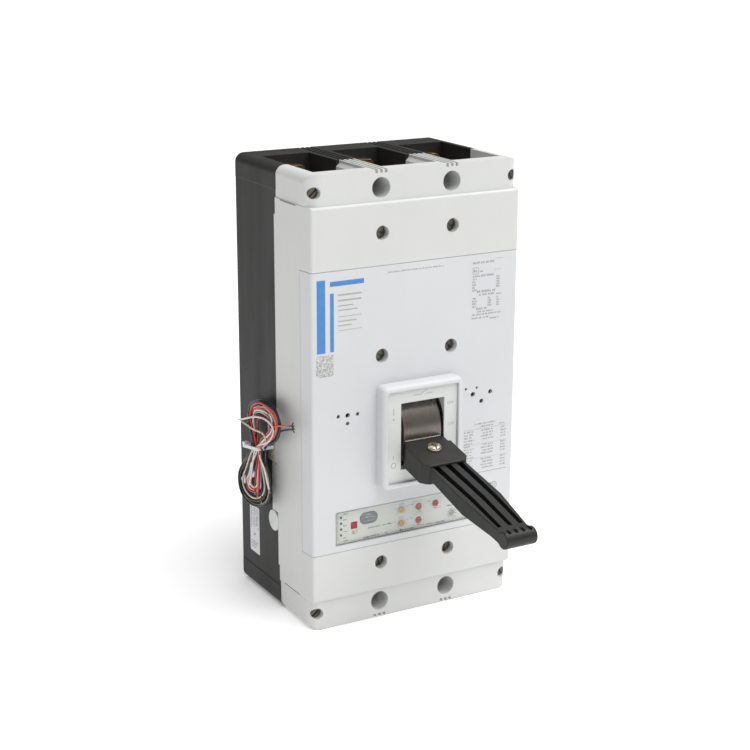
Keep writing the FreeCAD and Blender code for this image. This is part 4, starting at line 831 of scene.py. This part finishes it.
def add_window_marks():
    """Scales, boxes and small text of the trip unit's face."""
    origin = (0, front_of("trip_unit_faceplate"), 0)
    rng = random.Random(71)
    grey, scale = Marks(origin, (1, 0, 0), 0.04), Marks(origin, (1, 0, 0), 0.04)
    green, rose = Marks(origin, (1, 0, 0), 0.04), Marks(origin, (1, 0, 0), 0.04)
    for v in (-98.3, -103.6, -109.1, -114.6, -120.6, -123.4):
        grey.words(-71.6, -66.6 - rng.uniform(0, 1.6), v, 0.95, rng)
    grey.frame(-77.4, -122.0, -76.9, -97.4, 0.2)
    grey.words(-63.2, -57.6, -116.4, 1.17, rng)
    grey.words(-62.6, -58.2, -118.0, 1.04, rng)
    grey.words(-46.6, -34.0, -115.6, 1.3, rng)
    grey.words(-32.0, -21.4, -115.6, 1.3, rng)
    grey.words(-51.5, -46.0, -124.2, 1.56, rng)
    grey.words(-44.8, -35.6, -123.8, 1.3, rng)
    grey.ring(-28.0, -123.8, 1.1, 0.4)
    grey.words(-14.2, -10.8, -124.2, 2.21, rng)
    grey.words(-9.6, 1.0, -124.4, 1.17, rng)
    grey.words(14.0, 20.0, -123.6, 1.17, rng)
    grey.words(24.0, 33.0, -124.0, 1.17, rng)
    grey.bar(48.0, -124.6, 74.0, -124.4)
    grey.words(50.0, 72.0, -100.6, 1.43, rng)
    grey.words(50.0, 66.0, -103.4, 1.17, rng)
    grey.ticks(40.4, -117.6, 3.9, 4.9, 9, rng)
    grey.words(35.6, 45.4, -109.8, 1.3, rng)
    for v in (-105.0, -117.9):
        scale.ticks(-12.5, v, 3.9, 4.9, 11, rng)
        scale.words(-20.0, -17.9, v + 2.6, 0.8, rng)
        scale.words(-7.0, -4.9, v + 2.4, 0.8, rng)
        scale.words(-14.8, -10.2, v + 5.9, 0.8, rng)
    for u, v in ((5.4, -105.0), (5.4, -117.9), (23.1, -105.0)):
        green.frame(u - 5.0, v - 5.2, u + 5.6, v + 5.6, 0.3)
        green.ticks(u, v, 3.9, 4.6, 7, rng)
        grey.words(u - 8.4, u - 5.6, v + 3.2, 1.04, rng)
        grey.words(u - 1.6, u + 2.4, v - 4.4, 0.91, rng)
    rose.bar(0.2, -123.2, 2.0, -122.9)
    rose.bar(8.8, -123.2, 10.6, -122.9)
    rose.words(1.4, 9.4, -111.4, 0.6, rng)
    # Painted shadow: a thin dark band round the flap's edge stands in for the shaded gap between flap and
    # window.
    lo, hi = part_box("trip_window_cover")
    line = Marks((0, lo.y / MM, 0), (1, 0, 0), 0.03)
    outer = rounded(-80.3, lo.z / MM + 0.3, 80.3, hi.z / MM - 0.3, 2.4)
    inner = rounded(-79.9, lo.z / MM + 0.7, 79.9, hi.z / MM - 0.7, 2.0)
    line.band(outer, inner)
    line.piece("trip_window_shadow_line", INK_DARK, "trip_flap")
    grey.piece("print_window_text", INK_DARK)
    port = Marks((0, front_of("test_port_cover"), 0), (1, 0, 0), 0.04)
    port.words(-49.6, -42.6, -103.0, 0.9, rng)
    port.words(-50.6, -41.6, -105.0, 0.9, rng)
    port.words(-51.4, -40.4, -108.6, 0.7, rng)
    port.piece("print_port_text", INK_PALE)
    scale.piece("print_window_scales", INK_SCALE)
    green.piece("print_window_boxes", INK_GREEN)
    rose.piece("print_window_notes", INK_ROSE)


def rounded(u0, v0, u1, v1, radius):
    """Outline of a rectangle with round corners."""
    points = []
    corners = ((u1, v0, -90), (u1, v1, 0), (u0, v1, 90), (u0, v0, 180))
    for u, v, start in corners:
        centre_u = u - radius if u == u1 else u + radius
        centre_v = v - radius if v == v1 else v + radius
        for step in range(6):
            turn = math.radians(start + 18 * step)
            points.append((centre_u + radius * math.cos(turn), centre_v + radius * math.sin(turn)))
    return points


def add_side_label():
    """White label on the base below the leads, with upright rows of small text."""
    label = Marks((SIDE_X, 0, 0), (0, -1, 0), 0.12)
    label.slab(rounded(17.3, -168.3, 37.1, -122.0, 1.2))
    label.piece("side_label", MATERIALS["label_paper"])
    marks = Marks((SIDE_X - 0.12, 0, 0), (0, -1, 0), 0.03)
    rng = random.Random(83)
    for column in range(5):
        u, v = 19.8 + 3.4 * column, -124.4
        while v > -144.0 + 3.0 * (column % 2):
            height = rng.uniform(0.6, 1.2)
            marks.bar(u, v - height, u + 1.2, v)
            v -= height + rng.choice((0.35, 0.35, 1.1))
    marks.disc(27.0, -150.2, 1.2)
    for n in range(3):
        marks.words(19.8, 34.6 - 2.4 * n, -158.0 - 2.6 * n, 0.9, rng)
    marks.piece("side_label_print", INK_DARK)


def add_seal_marks():
    """Raised rim and lines on the round seal."""
    lo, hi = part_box("side_seal")
    centre = ((lo.y + hi.y) / 2 / MM, (lo.z + hi.z) / 2 / MM)
    marks = Marks((lo.x / MM, 0, 0), (0, -1, 0), 0.18)
    u, v = -centre[0], centre[1]
    marks.ring(u, v, 8.9, 0.8)
    marks.ring(u, v, 6.0, 0.5)
    rng = random.Random(97)
    for n in range(3):
        marks.words(u - 4.2, u + 4.2, v + 2.4 - 2.4 * n, 1.2, rng)
    for n in range(12):
        aim = Vector((math.cos(n * math.pi / 6), math.sin(n * math.pi / 6)))
        marks.stroke(Vector((u, v)) + 6.5 * aim, Vector((u, v)) + 7.7 * aim, 0.5)
    marks.piece("side_seal_relief", MATERIALS["seal_white"])


MATERIALS["label_paper"] = moulded(
    "label_paper", srgb(226, 226, 230), 0.5, 0.02, 0.004, 0.4, 0.1, 0.2, 0.3, 1.03)
add_front_marks()
add_handle_marks()
add_window_marks()
add_side_label()
add_seal_marks()

# ---------------------------------------------------------------- small parts


def add_springs():
    """Wound toggle springs with a straight hook at each end."""
    lo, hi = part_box("toggle_springs")
    knee_lo, knee_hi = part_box("knee_pin")
    knee = (knee_lo + knee_hi) / 2 / MM
    front = Vector((0, lo.y / MM, knee.z - 1.45))
    foot = Vector((0, hi.y / MM, knee.z - 0.25))
    along = (front - foot).normalized()
    up = along.cross(Vector((1, 0, 0)))
    side = Vector((1, 0, 0))
    length = (front - foot).length
    for name, x in (("toggle_spring_left", -12.0), ("toggle_spring_right", 12.0)):
        turns, steps = 13, 20
        coil = []
        for n in range(turns * steps + 1):
            angle = 2 * math.pi * n / steps
            reach = 1.2 + (length - 2.4) * n / (turns * steps)
            spoke = 2.45 * (math.cos(angle) * up + math.sin(angle) * side)
            coil.append(foot + Vector((x, 0, 0)) + reach * along + spoke)
        start, end = foot + Vector((x, 0, 0)), front + Vector((x, 0, 0))
        path = [start - 2.0 * along, start + 0.4 * along, *coil, end - 0.4 * along, end]
        made = tubes(name, [(path, 0.5)], MATERIALS["spring_steel"], "toggle_springs")
        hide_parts("toggle_springs")


add_springs()

# ---------------------------------------------------------------- floor and light


FLOOR_RADIUS = 16.0
FLOOR_GAP = 0.0003          # keeps the floor just under the object
SKY_LOW, SKY_HIGH = 0.02, 0.85
BACKDROP = (0.96, 0.96, 0.96, 1)


def add_floor():
    """Plain pale floor under the object."""
    parts = bmesh.new()
    bmesh.ops.create_circle(parts, cap_ends=True, segments=96, radius=FLOOR_RADIUS)
    bmesh.ops.translate(parts, verts=parts.verts, vec=(0, 0, CAD_BOX[0][2] - FLOOR_GAP))
    mesh = bpy.data.meshes.new("floor")
    parts.to_mesh(mesh)
    parts.free()
    shader = Shader("floor")
    cloud = shader.noise(1.5, 4.0)
    shader.link("Base Color", shader.mix(cloud, srgb(249, 249, 249), srgb(253, 253, 253)))
    shader.link("Roughness", shader.spread(cloud, 0.7, 0.85))
    shader.surface.inputs["Emission Color"].default_value = (1, 1, 1, 1)
    shader.surface.inputs["Emission Strength"].default_value = 0.2
    mesh.materials.append(shader.material)
    floor = bpy.data.objects.new("floor", mesh)
    bpy.context.scene.collection.objects.link(floor)


def add_sun(name, toward, strength, softness):
    """Soft light from the direction of a vector."""
    light = bpy.data.lights.new(name, "SUN")
    light.energy = strength
    light.angle = math.radians(softness)
    made = bpy.data.objects.new(name, light)
    made.rotation_mode = "QUATERNION"
    made.rotation_quaternion = Vector(toward).to_track_quat("Z", "Y")
    bpy.context.scene.collection.objects.link(made)


def add_overhead():
    """Soft panel above and to the right, for the sheen on the barrel and the screw."""
    panel = bpy.data.lights.new("overhead", "AREA")
    panel.size = 0.8
    panel.energy = 10.0
    made = bpy.data.objects.new("overhead", panel)
    made.location = (0.80, -0.36, 1.45)
    made.rotation_mode = "QUATERNION"
    made.rotation_quaternion = (made.location - Vector((0, -0.12, 0))).to_track_quat("Z", "Y")
    bpy.context.scene.collection.objects.link(made)


def add_world():
    """Soft light from above, in front of a plain pale backdrop."""
    world = bpy.data.worlds.new("studio")
    world.use_nodes = True
    tree = world.node_tree
    light = tree.nodes["Background"]
    light.inputs["Color"].default_value = (1, 1, 1, 1)
    coords = tree.nodes.new("ShaderNodeTexCoord")
    split = tree.nodes.new("ShaderNodeSeparateXYZ")
    ramp = tree.nodes.new("ShaderNodeMapRange")
    ramp.inputs["From Min"].default_value = 0.0
    ramp.inputs["From Max"].default_value = 1.0
    ramp.inputs["To Min"].default_value = SKY_LOW
    ramp.inputs["To Max"].default_value = SKY_HIGH
    tree.links.new(coords.outputs["Generated"], split.inputs["Vector"])
    tree.links.new(split.outputs["Z"], ramp.inputs["Value"])
    tree.links.new(ramp.outputs["Result"], light.inputs["Strength"])
    backdrop = tree.nodes.new("ShaderNodeBackground")
    backdrop.inputs["Color"].default_value = BACKDROP
    seen = tree.nodes.new("ShaderNodeLightPath")
    choice = tree.nodes.new("ShaderNodeMixShader")
    tree.links.new(seen.outputs["Is Camera Ray"], choice.inputs["Fac"])
    tree.links.new(light.outputs["Background"], choice.inputs[1])
    tree.links.new(backdrop.outputs["Background"], choice.inputs[2])
    tree.links.new(choice.outputs["Shader"], tree.nodes["World Output"].inputs["Surface"])
    bpy.context.scene.world = world


add_floor()
add_sun("key", (0.04, -0.28, 0.45), 1.5, 45)
add_overhead()
add_world()
bpy.context.scene.view_settings.view_transform = "Standard"
